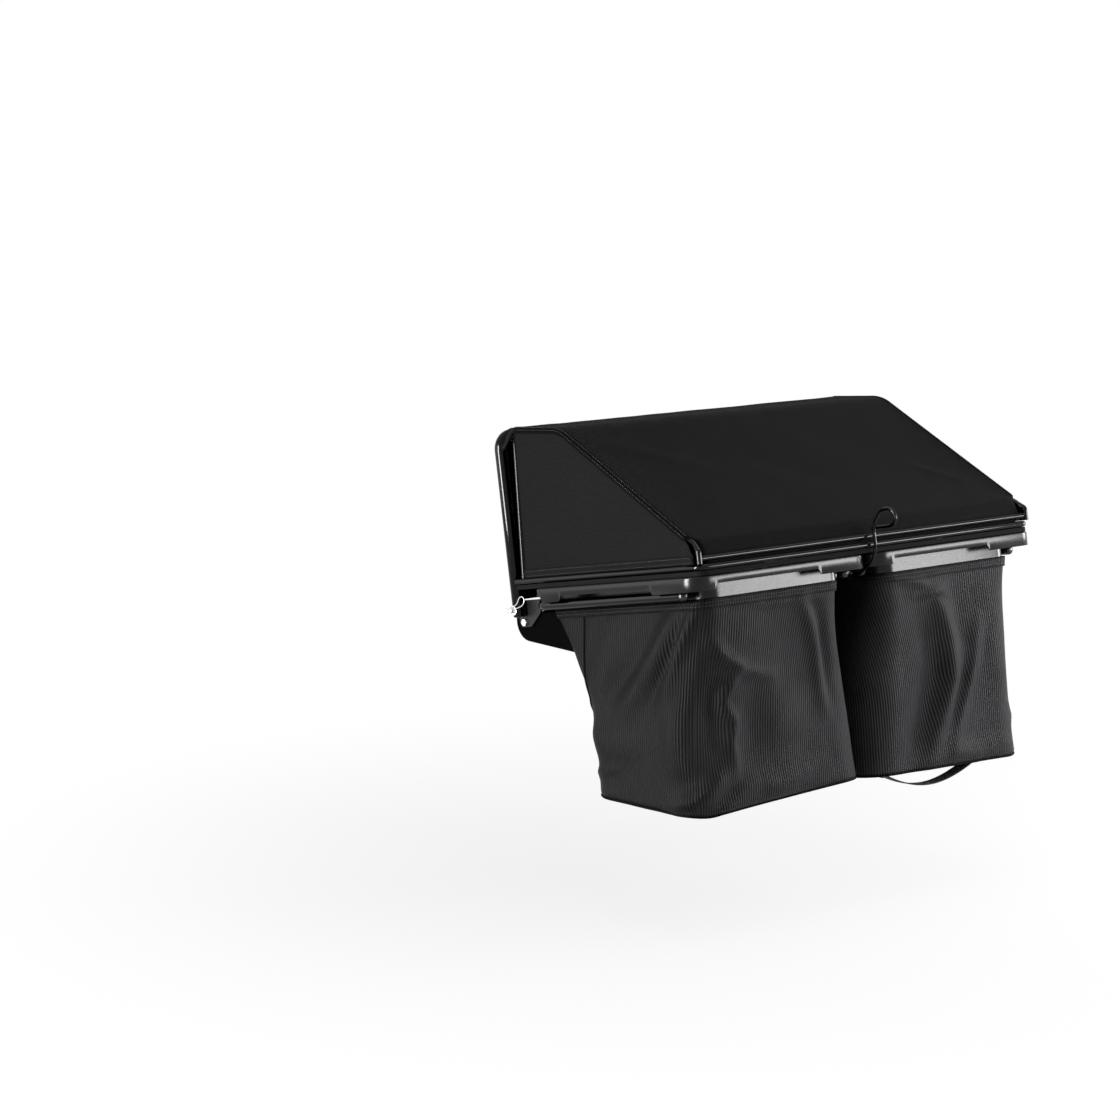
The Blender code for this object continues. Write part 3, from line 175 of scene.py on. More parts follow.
# The collector's cloths: coated polyester with raised ribs, drawn from a UV in metres, with painted
# shade in the valleys between them.
# The bags' ribs were counted in the photograph and are 4.6 to 4.9 mm apart.
def ribbed_cloth(name, rib_colour, valley_shade_colour, pitch, across_ribs, depth, **values):
    """A cloth with ribs and threads as bump, lighter where it is rubbed, with painted shade in the
    valleys between its ribs and threads.
    """
    made, tree, shader = new_finish(name, rib_colour, **values)
    metres = add(tree, "SeparateXYZ", links={"Vector": add(tree, "TexCoord").outputs["UV"]})
    stripe = add(
        tree, "Math", {"operation": "MULTIPLY"}, {1: 2 * math.pi / pitch},
        {0: metres.outputs["X" if across_ribs else "Y"]},
    )
    rib = add(tree, "Math", {"operation": "SINE"}, links={0: stripe.outputs[0]})
    thread = add(
        tree, "Math", {"operation": "MULTIPLY"}, {1: 2 * math.pi / thread_spacing},
        {0: metres.outputs["Y" if across_ribs else "X"]},
    )
    weft = add(tree, "Math", {"operation": "SINE"}, links={0: thread.outputs[0]})
    woven = add(
        tree, "Math", {"operation": "MULTIPLY_ADD"}, {1: thread_share},
        {0: weft.outputs[0], 2: rib.outputs[0]},
    )
    place = add(tree, "TexCoord").outputs["Object"]
    rub = add(tree, "TexNoise", values={"Scale": 14.0, "Detail": 6.0}, links={"Vector": place})
    wear_and_valley_shade = add(
        tree, "Math", {"operation": "MULTIPLY_ADD"}, {1: rub_share},
        {0: rub.outputs[0], 2: woven.outputs[0]},
    )
    shade = add(
        tree, "MapRange",
        values={"From Min": -0.4, "From Max": 2.0, "To Min": 0.0, "To Max": 1.0},
        links={"Value": wear_and_valley_shade.outputs[0]},
    )
    # The valley colour is painted shade between the ribs and threads; the rub noise is wear.
    tint = add(tree, "Mix", {"data_type": "RGBA"}, links={0: shade.outputs[0]})
    tint.inputs[6].default_value = linear(valley_shade_colour)
    tint.inputs[7].default_value = linear(rib_colour)
    bump = add(
        tree, "Bump", values={"Strength": 0.9, "Distance": depth},
        links={"Height": woven.outputs[0]},
    )
    tree.links.new(tint.outputs[2], shader.inputs["Base Color"])
    tree.links.new(bump.outputs[0], shader.inputs["Normal"])
    return made


thread_spacing = 0.0021
thread_share = 0.25
rub_share = 1.6
# Each cloth's second colour is the painted shade in its valleys.
bag_cloth = ribbed_cloth(
    "ribbed_pvc_coated_polyester", "#363638", "#0f0f10", 0.0048, True, 0.00038,
    Roughness=0.50, Specular_IOR_Level=0.045, Sheen_Weight=0.01, Sheen_Roughness=0.4,
)
# The hem is the bag's own cloth drawn darker than the wall: painted shade below the rim.
hem_cloth_in_painted_shade = ribbed_cloth(
    "folded_hem_of_the_bag_cloth_in_painted_shade", "#2c2c2e", "#111112", 0.0048, True, 0.00030,
    Roughness=0.52, Specular_IOR_Level=0.035, Sheen_Weight=0.01, Sheen_Roughness=0.4,
)
side_cloth = ribbed_cloth(
    "ribbed_hood_side_cloth", "#212122", "#111111", 0.0043, False, 0.00024,
    Roughness=0.75, Specular_IOR_Level=0.05, Sheen_Weight=0.02, Sheen_Roughness=0.5,
)
hood_cloth = ribbed_cloth(
    "plain_woven_hood_cloth", "#141415", "#0d0d0e", 0.0030, True, 0.0002,
    Roughness=0.85, Specular_IOR_Level=0.03, Sheen_Weight=0.02, Sheen_Roughness=0.5,
)
webbing = ribbed_cloth(
    "polypropylene_webbing", "#141415", "#060606", 0.0032, False, 0.0004,
    Roughness=0.62, Specular_IOR_Level=0.15, Sheen_Weight=0.05,
)
binding = ribbed_cloth(
    "bias_binding_tape", "#060606", "#030303", 0.0024, True, 0.0002,
    Roughness=0.60, Specular_IOR_Level=0.03, Sheen_Weight=0.0,
)
thread_finish = grained_finish(
    "bonded_polyester_thread", "#1c1c1e", 0.0008, 0.00005, 0.55, 0.38, Roughness=0.45
)


# Hood frame: one hoop of 22 mm tube that stands on the hinges, and thinner rails welded to
# it that the cover is stretched over. Each is bent cold, so every corner is a smooth arc.
def piece(name, mesh, finish, body):
    """An object of the mesh, in its finish, riding on its body."""
    made = bpy.data.objects.new(name, mesh)
    bpy.context.scene.collection.objects.link(made)
    mesh.materials.append(finish)
    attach(made, body)
    return made


def thicken(cloth, thickness, offset=0):
    """Gives a cloth its thickness, half on either side unless an offset is given."""
    shell = cloth.modifiers.new("cloth", "SOLIDIFY")
    shell.thickness = thickness
    shell.offset = offset


def corner_arc(before, corner, after, radius, steps):
    """Points of the arc that rounds one corner of a path."""
    to_start = (before - corner).normalized()
    to_end = (after - corner).normalized()
    half = to_start.angle(to_end) / 2
    centre = corner + (to_start + to_end).normalized() * radius / math.sin(half)
    start = corner + to_start * radius / math.tan(half) - centre
    end = corner + to_end * radius / math.tan(half) - centre
    sweep = start.angle(end)
    arc = []
    for i in range(steps + 1):
        part = i / steps
        spoke = start * math.sin((1 - part) * sweep) + end * math.sin(part * sweep)
        arc.append(centre + spoke / math.sin(sweep))
    return arc


def rounded_path(points, radii, steps=12):
    """A path through the points whose inner corners are rounded by their radii."""
    path = [points[0]]
    for before, corner, after, radius in zip(points, points[1:], points[2:], radii):
        path += corner_arc(before, corner, after, radius, steps)
    return path + [points[-1]]


def smooth_path(points, steps=8):
    """A Catmull-Rom curve through the points."""
    ends = [2 * points[0] - points[1], *points, 2 * points[-1] - points[-2]]
    path = []
    for a, b, c, d in zip(ends, ends[1:], ends[2:], ends[3:]):
        for i in range(steps):
            t = i / steps
            bend = 2 * b + (c - a) * t + (2 * a - 5 * b + 4 * c - d) * t**2
            path.append((bend + (3 * b - 3 * c + d - a) * t**3) / 2)
    return path + [points[-1]]


def quads(name, rows, around=None, down=None, closed=False, caps=False, metres=None):
    """A smooth mesh of quads through rows of points, with a UV in metres at each point."""
    rows = [[Vector(spot) for spot in row] for row in rows]
    high, wide = len(rows), len(rows[0])
    mesh = bpy.data.meshes.new(name)
    faces = []
    for i in range(high - 1):
        for j in range(wide if closed else wide - 1):
            k = (j + 1) % wide
            faces.append((i * wide + j, i * wide + k, (i + 1) * wide + k, (i + 1) * wide + j))
    if caps:
        faces.append(tuple(range(wide)))
        faces.append(tuple(range((high - 1) * wide, high * wide)))
    mesh.from_pydata([spot for row in rows for spot in row], [], faces)
    if around is None:
        around = [j / wide for j in range(wide + 1)]
    if down is None:
        down = [i / high for i in range(high)]
    layer = mesh.uv_layers.new(name="metres")
    for face in mesh.polygons:
        last_column = any(mesh.loops[k].vertex_index % wide == wide - 1 for k in face.loop_indices)
        for k in face.loop_indices:
            row, column = divmod(mesh.loops[k].vertex_index, wide)
            if closed and column == 0 and last_column and len(face.vertices) == 4:
                column = wide
            layer.data[k].uv = metres[row][column] if metres else (around[column], down[row])
    shape = bmesh.new()
    shape.from_mesh(mesh)
    bmesh.ops.recalc_face_normals(shape, faces=shape.faces)
    shape.to_mesh(mesh)
    shape.free()
    mesh.shade_smooth()
    mesh.set_sharp_from_angle(angle=math.radians(50))
    return mesh


def sweep(name, path, radius, sides=20, dome=0.0):
    """A round bar along a path, its ends closed flat or, with a dome, rounded."""
    path = [Vector(spot) for spot in path]
    kept = [path[0]]
    for spot in path[1:]:
        if (spot - kept[-1]).length > 1e-5:
            kept.append(spot)
    path = kept
    ahead = (path[1] - path[0]).normalized()
    side = ahead.orthogonal().normalized()
    rows = []
    lengths = []
    travelled = 0.0
    for i, spot in enumerate(path):
        before = path[max(i - 1, 0)]
        after = path[min(i + 1, len(path) - 1)]
        along = (after - before).normalized()
        side = (side - along * side.dot(along)).normalized()
        other = along.cross(side)
        travelled += (spot - before).length
        turns = [2 * math.pi * j / sides for j in range(sides)]
        ring = [spot + radius * (side * math.cos(a) + other * math.sin(a)) for a in turns]
        rows.append(ring)
        lengths.append(travelled)
    if dome:
        for end, out in ((0, path[0] - path[1]), (-1, path[-1] - path[-2])):
            out = out.normalized()
            centre = path[end]
            bulge = []
            for turn in (30, 55, 75):
                shrink = math.cos(math.radians(turn))
                push = out * dome * math.sin(math.radians(turn))
                bulge.append([centre + (spot - centre) * shrink + push for spot in rows[end]])
            if end == 0:
                rows = bulge[::-1] + rows
                lengths = [0.0] * 3 + lengths
            else:
                rows = rows + bulge
                lengths = lengths + [travelled] * 3
    around = [2 * math.pi * radius * j / sides for j in range(sides + 1)]
    return quads(name, rows, around, lengths, closed=True, caps=True)


low, high = reach("hood_hoop")
hoop_tube = (high.y - low.y) / 2
hoop_half = high.x - hoop_tube
hoop_up = high.z - hoop_tube
hoop_corner = 0.026
corners = [
    at(-hoop_half, 0, low.z),
    at(-hoop_half, 0, hoop_up),
    at(hoop_half, 0, hoop_up),
    at(hoop_half, 0, low.z),
]
path = rounded_path(corners, [hoop_corner] * 2, 16)
mesh = sweep("hoop_tube", path, hoop_tube, 28, 0.003)
hoop = piece("hoop_tube", mesh, gloss_coat, "hood")
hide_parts("hood_hoop")

low, high = reach("hood_base_rail")
base_tube = (high.z - low.z) / 2
base_half = high.x - base_tube
base_back = high.y - base_tube
base_up = low.z + base_tube
base_corner = 0.015
corners = [
    at(-base_half, low.y, base_up),
    at(-base_half, base_back, base_up),
    at(base_half, base_back, base_up),
    at(base_half, low.y, base_up),
]
path = rounded_path(corners, [base_corner] * 2, 12)
mesh = sweep("base_rail", path, base_tube, 20)
base_rail = piece("base_rail", mesh, gloss_coat, "hood")
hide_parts("hood_base_rail")

low, high = reach("hood_rear_rail")
rail_tube = (high.z - low.z) / 2
rear_rail_back = low.y + rail_tube
rear_rail_up = low.z + rail_tube
ends = [at(low.x, rear_rail_back, rear_rail_up), at(high.x, rear_rail_back, rear_rail_up)]
mesh = sweep("rear_rail", ends, rail_tube, 20)
rear_rail = piece("rear_rail", mesh, gloss_coat, "hood")
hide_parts("hood_rear_rail")

shoulder_back = 0.190
shoulder_up = 0.299
slope_foot_back = 0.500
slope_foot_up = 0.090
rail_jog = 0.008
jog_starts = 0.008
jog_ends = 0.030
side_rail_bends = (0.010, 0.020, 0.060, 0.010, 0.008)
rod_radius = 0.0035
base_top = base_up + base_tube
for side, word in ((-1, "left"), (1, "right")):
    low, high = reach("hood_side_rail_" + word)
    start_up = high.z - rail_tube
    post_up = (slope_foot_up + base_top) / 2 + rail_tube
    corners = [
        at(side * (hoop_half - rail_jog), low.y, start_up),
        at(side * (hoop_half - rail_jog), hoop_tube + jog_starts, start_up),
        at(side * hoop_half, hoop_tube + jog_ends, start_up),
        at(side * hoop_half, shoulder_back, shoulder_up),
        at(side * hoop_half, slope_foot_back, slope_foot_up),
        at(side * base_half, base_back, post_up),
        at(side * base_half, base_back, low.z),
    ]
    path = rounded_path(corners, side_rail_bends, 8)
    mesh = sweep("side_rail_" + word, path, rail_tube, 18)
    rail = piece("side_rail_" + word, mesh, gloss_coat, "hood")
    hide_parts("hood_side_rail_" + word)

    low, high = reach("hood_front_rod_" + word)
    foot = at(side * base_half, low.y + rod_radius, low.z)
    head = at(side * (hoop_half + 0.001), high.y - rod_radius, high.z)
    mesh = sweep("front_rod_" + word, [foot, head], rod_radius, 16)
    rod = piece("front_rod_" + word, mesh, gloss_coat, "hood")
    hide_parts("hood_front_rod_" + word)

low, high = reach("hood_cross_bow")
bow_up = (low.z + high.z) / 2
bow_back = (low.y + high.y) / 2
ends = [at(low.x, bow_back, bow_up), at(high.x, bow_back, bow_up)]
mesh = sweep("cross_bow", ends, rail_tube, 18)
bow = piece("cross_bow", mesh, gloss_coat, "hood")
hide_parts("hood_cross_bow")


# Hood cover, top: one panel of plain woven cloth drawn tight from the hoop over the shoulder
# bend to the rear rail. It rolls down over the frame's sides and dips between its supports.
cloth_gap = 0.0012
line_starts = 0.003
ridge_back = 0.052
ridge_drop = 0.0006
shoulder_bend = 0.085
shoulder_early = 0.012
heel_bend = 0.008
heel_late = 0.003


def cover_line(steps):
    """(back, up) of the top cloth's middle, evenly spaced from the hoop to the rear hem."""
    over = hoop_up + hoop_tube + cloth_gap
    lift = rail_tube + cloth_gap
    shoulder = Vector((shoulder_back, shoulder_up))
    foot = Vector((slope_foot_back, slope_foot_up))
    down = (foot - shoulder).normalized()
    normal = Vector((-down.y, down.x))
    peak = shoulder + normal * lift - down * shoulder_early
    heel = foot + normal * lift + down * heel_late
    start = Vector((line_starts, over))
    ridge = Vector((ridge_back, over - ridge_drop))
    hem = Vector((rear_rail_back, rear_rail_up + rail_tube + 0.0003))
    path = [start, ridge]
    path += corner_arc(ridge, peak, heel, shoulder_bend, 16)
    path += corner_arc(peak, heel, hem, heel_bend, 8)
    path.append(hem)
    lengths = [0.0]
    for before, after in zip(path, path[1:]):
        lengths.append(lengths[-1] + (after - before).length)
    even = []
    for i in range(steps + 1):
        travel = lengths[-1] * i / steps
        k = min(np.searchsorted(lengths, travel, side="right") - 1, len(path) - 2)
        share = (travel - lengths[k]) / (lengths[k + 1] - lengths[k])
        even.append((path[k].lerp(path[k + 1], share), travel))
    return even


def ease(value):
    """A smooth step from 0 to 1."""
    value = max(0.0, min(1.0, value))
    return value * value * (3 - 2 * value)


def crease(place, start, end, width):
    """How strongly a straight fold from start to end lifts a place, 0 to 1."""
    start, end, place = Vector(start), Vector(end), Vector(place)
    run = end - start
    share = max(0.0, min(1.0, (place - start).dot(run) / run.length_squared))
    apart = (place - start - run * share).length
    fade = math.sin(math.pi * (0.06 + 0.88 * share)) ** 0.8
    return fade * math.exp(-((apart / width) ** 2))


cloth_thick = 0.0014
cover_half = hoop_half + rail_tube + 0.0003
flap_half = cover_half + 0.0025
cover_steps = 84
line = cover_line(cover_steps)
cover_length = line[-1][1]
bow_travel = 0.178
front_dip = 0.0026
rear_dip = 0.0050
cloth_ripple = 0.0007

# Along the hoop the cloth rolls over the tube's wide bend, and behind it over the thin side
# rails; at the rear hem it narrows to go between them. Its front edge is cut back at the
# hoop's corners, so that the tube's bend shows.
hoop_roll = hoop_corner + hoop_tube + cloth_gap
edge_roll = rail_tube + 0.0025
roll_starts = 0.012
roll_ends = 0.055
flare_ends = 0.035
hem_back = 0.494
hem_long = 0.008
cut_deep = 0.009
cut_inset = 0.012
cut_wide = 0.030
cut_long = 0.030
top_creases = (
    ((-0.37, 0.02), (-0.20, 0.10), 0.010, 0.0012),
    ((-0.36, 0.06), (-0.24, 0.16), 0.009, -0.0010),
    ((0.20, 0.06), (0.30, 0.09), 0.006, 0.0014),
    ((0.26, 0.05), (0.36, 0.12), 0.008, -0.0010),
    ((-0.36, 0.22), (-0.16, 0.36), 0.022, 0.0016),
    ((0.37, 0.20), (0.22, 0.34), 0.022, 0.0014),
    ((-0.10, 0.30), (0.06, 0.45), 0.034, -0.0014),
    ((-0.33, 0.50), (-0.20, 0.42), 0.012, 0.0014),
    ((0.34, 0.50), (0.24, 0.40), 0.012, 0.0014),
)


def cover_section(i):
    """Roll radius, half width and outward normal of the top cloth at one of its rows."""
    spot, travel = line[i]
    behind_hoop = ease((travel - roll_starts) / (roll_ends - roll_starts))
    roll = hoop_roll + (edge_roll - hoop_roll) * behind_hoop
    hoop_edge = hoop_half + hoop_tube + cloth_gap
    hem_edge = hoop_half - rail_tube - 0.0008
    half = flap_half + (hoop_edge - flap_half) * (1 - ease(travel / flare_ends))
    half += (hem_edge - flap_half) * ease((spot.x - hem_back) / hem_long)
    ahead = line[min(i + 1, cover_steps)][0] - line[max(i - 1, 0)][0]
    return roll, half, Vector((-ahead.y, ahead.x)).normalized()


def cover_spot(i, distance, raised=0.0):
    """The place on the top cloth at one row, so far round from the middle of its width."""
    spot, travel = line[i]
    roll, half, normal = cover_section(i)
    flat = half - roll
    reached = abs(distance)
    turn = max(0.0, reached - flat) / roll
    across = min(reached, flat) + (roll + raised) * math.sin(turn)
    if travel < bow_travel:
        dip = front_dip * math.sin(math.pi * travel / bow_travel)
    else:
        dip = rear_dip * math.sin(math.pi * (travel - bow_travel) / (cover_length - bow_travel))
    inner = 1 - min(1, reached / (flat + roll)) ** 8
    lift = -dip * inner
    signed = math.copysign(across, distance)
    for start, end, width, height in top_creases:
        lift += height * crease((signed, travel), start, end, width) * inner
    lift += cloth_ripple * inner * noise.noise(Vector((distance * 14, travel * 9, 1.7)))
    lift += raised * math.cos(turn) - roll * (1 - math.cos(turn))
    place = spot + normal * lift
    at_corner = ease((reached - flat + cut_inset) / cut_wide)
    held_back = cut_deep * at_corner * (1 - ease(travel / cut_long))
    return at(signed, place.x + held_back, place.y)


def cover_reach(i):
    """How far round from the middle the top cloth's edge lies at one row."""
    roll, half, _ = cover_section(i)
    return half - roll + roll * math.pi / 2


flat_columns = 56
roll_columns = 9
shares = [k / flat_columns for k in range(flat_columns)]
rows = []
metres = []
for i in range(cover_steps + 1):
    roll, half, _ = cover_section(i)
    right = [(half - roll) * share for share in shares]
    right += [half - roll + roll * math.pi / 2 * k / roll_columns for k in range(roll_columns + 1)]
    distances = [-d for d in right[:0:-1]] + right
    rows.append([cover_spot(i, distance) for distance in distances])
    metres.append([(distance, line[i][1]) for distance in distances])
mesh = quads("cover_top", rows, metres=metres)
cover_top = piece("cover_top", mesh, hood_cloth, "hood")
thicken(cover_top, cloth_thick)
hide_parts("cover_top_panel")


# A lap of the same cloth hangs inside the rear rail down to the base rail, so that no
# clippings escape between the two.
lap_height = 0.0195
lap_half = hoop_half - 0.014
lap_steps = 6
half_columns = 45
lap_ripple = 0.0006
lap_top_back = rear_rail_back - rail_tube - cloth_gap
lap_foot_back = base_back - base_tube - cloth_gap
lap_rows = []
for i in range(lap_steps + 1):
    share = i / lap_steps
    row = []
    for k in range(2 * half_columns + 1):
        back = lap_top_back + (lap_foot_back - lap_top_back) * share
        back += lap_ripple * noise.noise(Vector((k * 0.3, share, 4)))
        up = rear_rail_up + 0.002 - lap_height * share
        row.append(at(lap_half * (k / half_columns - 1), back, up))
    lap_rows.append(row)
across_lap = [lap_half * k / half_columns for k in range(2 * half_columns + 1)]
down_lap = [lap_height * i / lap_steps for i in range(lap_steps + 1)]
mesh = quads("rear_lap", lap_rows, across_lap, down_lap)
lap = piece("rear_lap", mesh, hood_cloth, "hood")
thicken(lap, cloth_thick)


# Seams of the cover: along each side of the top panel a cord is sewn into folded bias tape,
# and two rows of thread hold the tape down beside the cord.
def stitches(name, path, lift, length=0.0030, pace=0.0042, radius=0.00032):
    """Small threads laid end to end on a path, each a slim six-sided bar."""
    shape = bmesh.new()
    path = [Vector(spot) for spot in path]
    lengths = [0.0]
    for before, after in zip(path, path[1:]):
        lengths.append(lengths[-1] + (after - before).length)

    def spot_at(travel):
        k = min(np.searchsorted(lengths, travel, side="right") - 1, len(path) - 2)
        long = max(lengths[k + 1] - lengths[k], 1e-9)
        return path[k].lerp(path[k + 1], (travel - lengths[k]) / long)

    travel = pace / 2
    while travel + length < lengths[-1]:
        start, end = spot_at(travel), spot_at(travel + length)
        out = lift if isinstance(lift, Vector) else lift(travel / lengths[-1])
        along = (end - start).normalized()
        side = along.cross(out).normalized() * radius
        rise = out * radius
        rings = []
        for share, size, height in ((0, 0.5, 0.2), (0.2, 1, 0.9), (0.8, 1, 0.9), (1, 0.5, 0.2)):
            centre = start.lerp(end, share) + rise * height
            ring = []
            for x, y in ((1, 0), (0.5, 0.9), (-0.5, 0.9), (-1, 0), (-0.5, -0.9), (0.5, -0.9)):
                ring.append(shape.verts.new(centre + (side * x + rise * y) * size))
            rings.append(ring)
        for ring, after in zip(rings, rings[1:]):
            for i in range(6):
                shape.faces.new((ring[i], ring[(i + 1) % 6], after[(i + 1) % 6], after[i]))
        shape.faces.new(rings[0][::-1])
        shape.faces.new(rings[-1])
        travel += pace
    mesh = bpy.data.meshes.new(name)
    bmesh.ops.recalc_face_normals(shape, faces=shape.faces)
    shape.to_mesh(mesh)
    shape.free()
    mesh.shade_smooth()
    return mesh


cord_radius = 0.0019
cord_out = 0.4
cord_lift = 0.0012
tape_wide = 0.0105
tape_thick = 0.0010
tape_columns = 5
tape_rows = range(1, cover_steps - 5)
stitch_insets = (0.0022, 0.0070)
for side, word in ((-1, "left"), (1, "right")):
    path = [
        cover_spot(i, side * (cover_reach(i) + cord_radius * cord_out), cord_lift)
        for i in tape_rows
    ]
    mesh = sweep("seam_cord_" + word, path, cord_radius, 12, cord_radius)
    cord = piece("seam_cord_" + word, mesh, binding, "hood")
    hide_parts("cover_piping_" + word)
    tape = []
    tape_lift = cloth_thick / 2 + tape_thick * 0.7
    for i in tape_rows:
        edge = cover_reach(i)
        tape.append([
            cover_spot(i, side * (edge - tape_wide * k / tape_columns), tape_lift)
            for k in range(tape_columns + 1)
        ])
    mesh = quads("seam_tape_" + word, tape)
    strip = piece("seam_tape_" + word, mesh, binding, "hood")
    thicken(strip, tape_thick)
    raised = cloth_thick / 2 + tape_thick * 1.2
    for number, inset in enumerate(stitch_insets, 1):
        path = [cover_spot(i, side * (cover_reach(i) - inset), raised) for i in tape_rows]
        normal = (tipped.to_3x3() @ Vector((side * 0.5, -0.35, 0.8))).normalized()
        name = f"cover_stitching_{word}_{number}"
        piece(name, stitches(name, path, normal), thread_finish, "hood")

# Hood cover, sides: ribbed cloth, its ribs level, bound along the front edge beside the thin
# rod, sewn under the corded seam, and hemmed just above the base rail.
rod_back = 0.033
rod_gap = 0.0028
front_slant = 0.0135
side_front = rod_back + rod_radius + rod_gap
side_front_top = side_front + front_slant
side_rear = rear_rail_back - rail_tube - 0.0006
side_foot = base_top + 0.0003
side_gap = 0.0009
side_belly = 0.0024
side_ripple = 0.0006
post_back = 0.470
post_step = 0.032
seam_line = []
for i in range(cover_steps + 1):
    roll, _, normal = cover_section(i)
    seam_line.append(line[i][0] - normal * roll)


def seam_up(back):
    """Height of the corded seam above a place on the hood's side."""
    for before, after in zip(seam_line, seam_line[1:]):
        if before.x <= back <= after.x:
            return before.y + (after.y - before.y) * (back - before.x) / (after.x - before.x)
    return seam_line[-1].y


side_creases = (
    ((0.10, 0.95), (0.20, 0.80), 0.010, 0.0012),
    ((0.06, 0.90), (0.12, 0.60), 0.010, -0.0010),
    ((0.28, 0.10), (0.44, 0.20), 0.016, 0.0024),
    ((0.10, 0.14), (0.34, 0.07), 0.014, 0.0014),
    ((0.36, 0.55), (0.26, 0.30), 0.022, -0.0014),
)


def side_spot(side, back, up, raised=0.0):
    """The place on one side cloth, which bellies out a little and steps over the post."""
    top = seam_up(back)
    share = max(0.0, min(1.0, (up - side_foot) / max(top - side_foot, 0.001)))
    run = max(0.0, min(1.0, (back - side_front) / (side_rear - side_front)))
    inner = math.sin(math.pi * share) * math.sin(math.pi * run)
    out = side_belly * inner + (base_half - hoop_half) * ease((back - post_back) / post_step)
    for start, end, width, height in side_creases:
        start_up = side_foot + (seam_up(start[0]) - side_foot) * start[1]
        end_up = side_foot + (seam_up(end[0]) - side_foot) * end[1]
        out += height * crease((back, up), (start[0], start_up), (end[0], end_up), width)
    out += side_ripple * inner * noise.noise(Vector((back * 20, up * 20, 4.2)))
    return at(side * (cover_half + side_gap + out + raised), back, up)


side_rows = 60
side_columns = 100
hem_wide = 0.015
hem_columns = 5
hem_lift = 0.0013
hem_roll = 0.0008
side_hem_thick = 0.0012
for side, word in ((-1, "left"), (1, "right")):
    grid = []
    metres = []
    for i in range(side_rows + 1):
        share = i / side_rows
        row = []
        uvs = []
        for j in range(side_columns + 1):
            front = side_front + (side_front_top - side_front) * share
            back = front + (side_rear - front) * j / side_columns
            up = side_foot + (seam_up(back) + 0.001 - side_foot) * share
            row.append(side_spot(side, back, up))
            uvs.append((back, up))
        grid.append(row)
        metres.append(uvs)
    mesh = quads("cover_side_" + word, grid, metres=metres)
    cover_side = piece("cover_side_" + word, mesh, side_cloth, "hood")
    thicken(cover_side, cloth_thick)
    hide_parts("cover_side_panel_" + word)
    hem = []
    metres = []
    for k in range(hem_columns + 1):
        row = []
        uvs = []
        for j in range(side_columns + 1):
            back = side_front + (side_rear - side_front) * j / side_columns
            hem_top = min(hem_wide, 0.7 * (seam_up(back) - side_foot))
            up = side_foot + hem_top * k / hem_columns
            roll_out = hem_roll * math.sin(math.pi * k / hem_columns)
            row.append(side_spot(side, back, up, hem_lift + roll_out))
            uvs.append((back, up * 0.6))
        hem.append(row)
        metres.append(uvs)
    mesh = quads("cover_side_hem_" + word, hem, metres=metres)
    hem_piece = piece("cover_side_hem_" + word, mesh, side_cloth, "hood")
    thicken(hem_piece, side_hem_thick)
    normal = Vector((side, 0, 0))
    for number, k in enumerate((1, 4), 1):
        path = [spot + normal * 0.0007 for spot in hem[k][1:-1]]
        name = f"side_hem_stitching_{word}_{number}"
        piece(name, stitches(name, path, normal), thread_finish, "hood")
    path = [row[0] + normal * 0.0004 for row in grid[1:-1]]
    name = "side_binding_" + word
    piece(name, sweep(name, path, 0.0017, 10), binding, "hood")

# Bag rims: polypropylene mouldings, an upside-down channel that sits over the bag rail. Its
# outer skirt is notched between the corner tabs, and its inner band carries the bag.
rim_wall = 0.0025
tab_bottom = 0.011
notch_bottom = 0.021
notch_step = 0.008
rim_corner = 0.035
band_inner = 0.046
band_outer = 0.360
band_front = 0.078
band_rear = 0.490
band_corner = 0.030
band_bottom = -0.004
tabs = {"rear_outer": 0.080, "rear_inner": 0.007, "side_front": 0.047, "side_rear": 0.078}


def rim_plan(side, inner, outer, front, rear, radius, corner_steps=10, run_steps=14):
    """(across, back, is on a corner, run number, share of run) round a rounded rectangle."""
    stations = []
    corners = (
        ((inner + radius, front + radius), math.pi),
        ((outer - radius, front + radius), 1.5 * math.pi),
        ((outer - radius, rear - radius), 0),
        ((inner + radius, rear - radius), 0.5 * math.pi),
    )
    starts = {
        1: (Vector((outer, front + radius)), Vector((outer, rear - radius))),
        2: (Vector((outer - radius, rear)), Vector((inner + radius, rear))),
        3: (Vector((inner, rear - radius)), Vector((inner, front + radius))),
    }
    for number, (centre, turn) in enumerate(corners):
        for i in range(corner_steps + 1):
            angle = turn + math.pi / 2 * i / corner_steps
            spot = Vector(centre) + radius * Vector((math.cos(angle), math.sin(angle)))
            stations.append((spot.x, spot.y, number, None))
        if number in starts:
            begin, end = starts[number]
            long = (end - begin).length
            if number == 1:
                near, far = tabs["side_front"], tabs["side_rear"]
            elif number == 2:
                near, far = tabs["rear_outer"], tabs["rear_inner"]
                if side < 0:
                    near, far = far, near
            else:
                near, far = tabs["side_rear"], tabs["side_front"]
            marks = []
            for k in range(5):
                marks.append((near + notch_step * k / 4, k / 4))
            for k in range(1, run_steps):
                middle = near + notch_step + (long - near - far - 2 * notch_step) * k / run_steps
                marks.append((middle, 1.0))
            for k in range(5):
                marks.append((long - far - notch_step * (1 - k / 4), 1 - k / 4))
            for travel, raised in marks:
                spot = begin.lerp(end, travel / long)
                stations.append((spot.x, spot.y, None, raised))
    return stations


def skirt_edge(stations, corner_steps=10):
    """Height of the skirt's lower edge at each station."""
    heights = []
    seen = {0: 0, 1: 0, 2: 0, 3: 0}
    for _, _, corner, raised in stations:
        if corner is None:
            smooth = raised * raised * (3 - 2 * raised)
            heights.append(tab_bottom + (notch_bottom - tab_bottom) * smooth)
            continue
        step = seen[corner]
        seen[corner] += 1
        front_side = (corner == 0 and step > 0) or (corner == 1 and step < corner_steps)
        heights.append(notch_bottom if front_side else tab_bottom)
    return heights


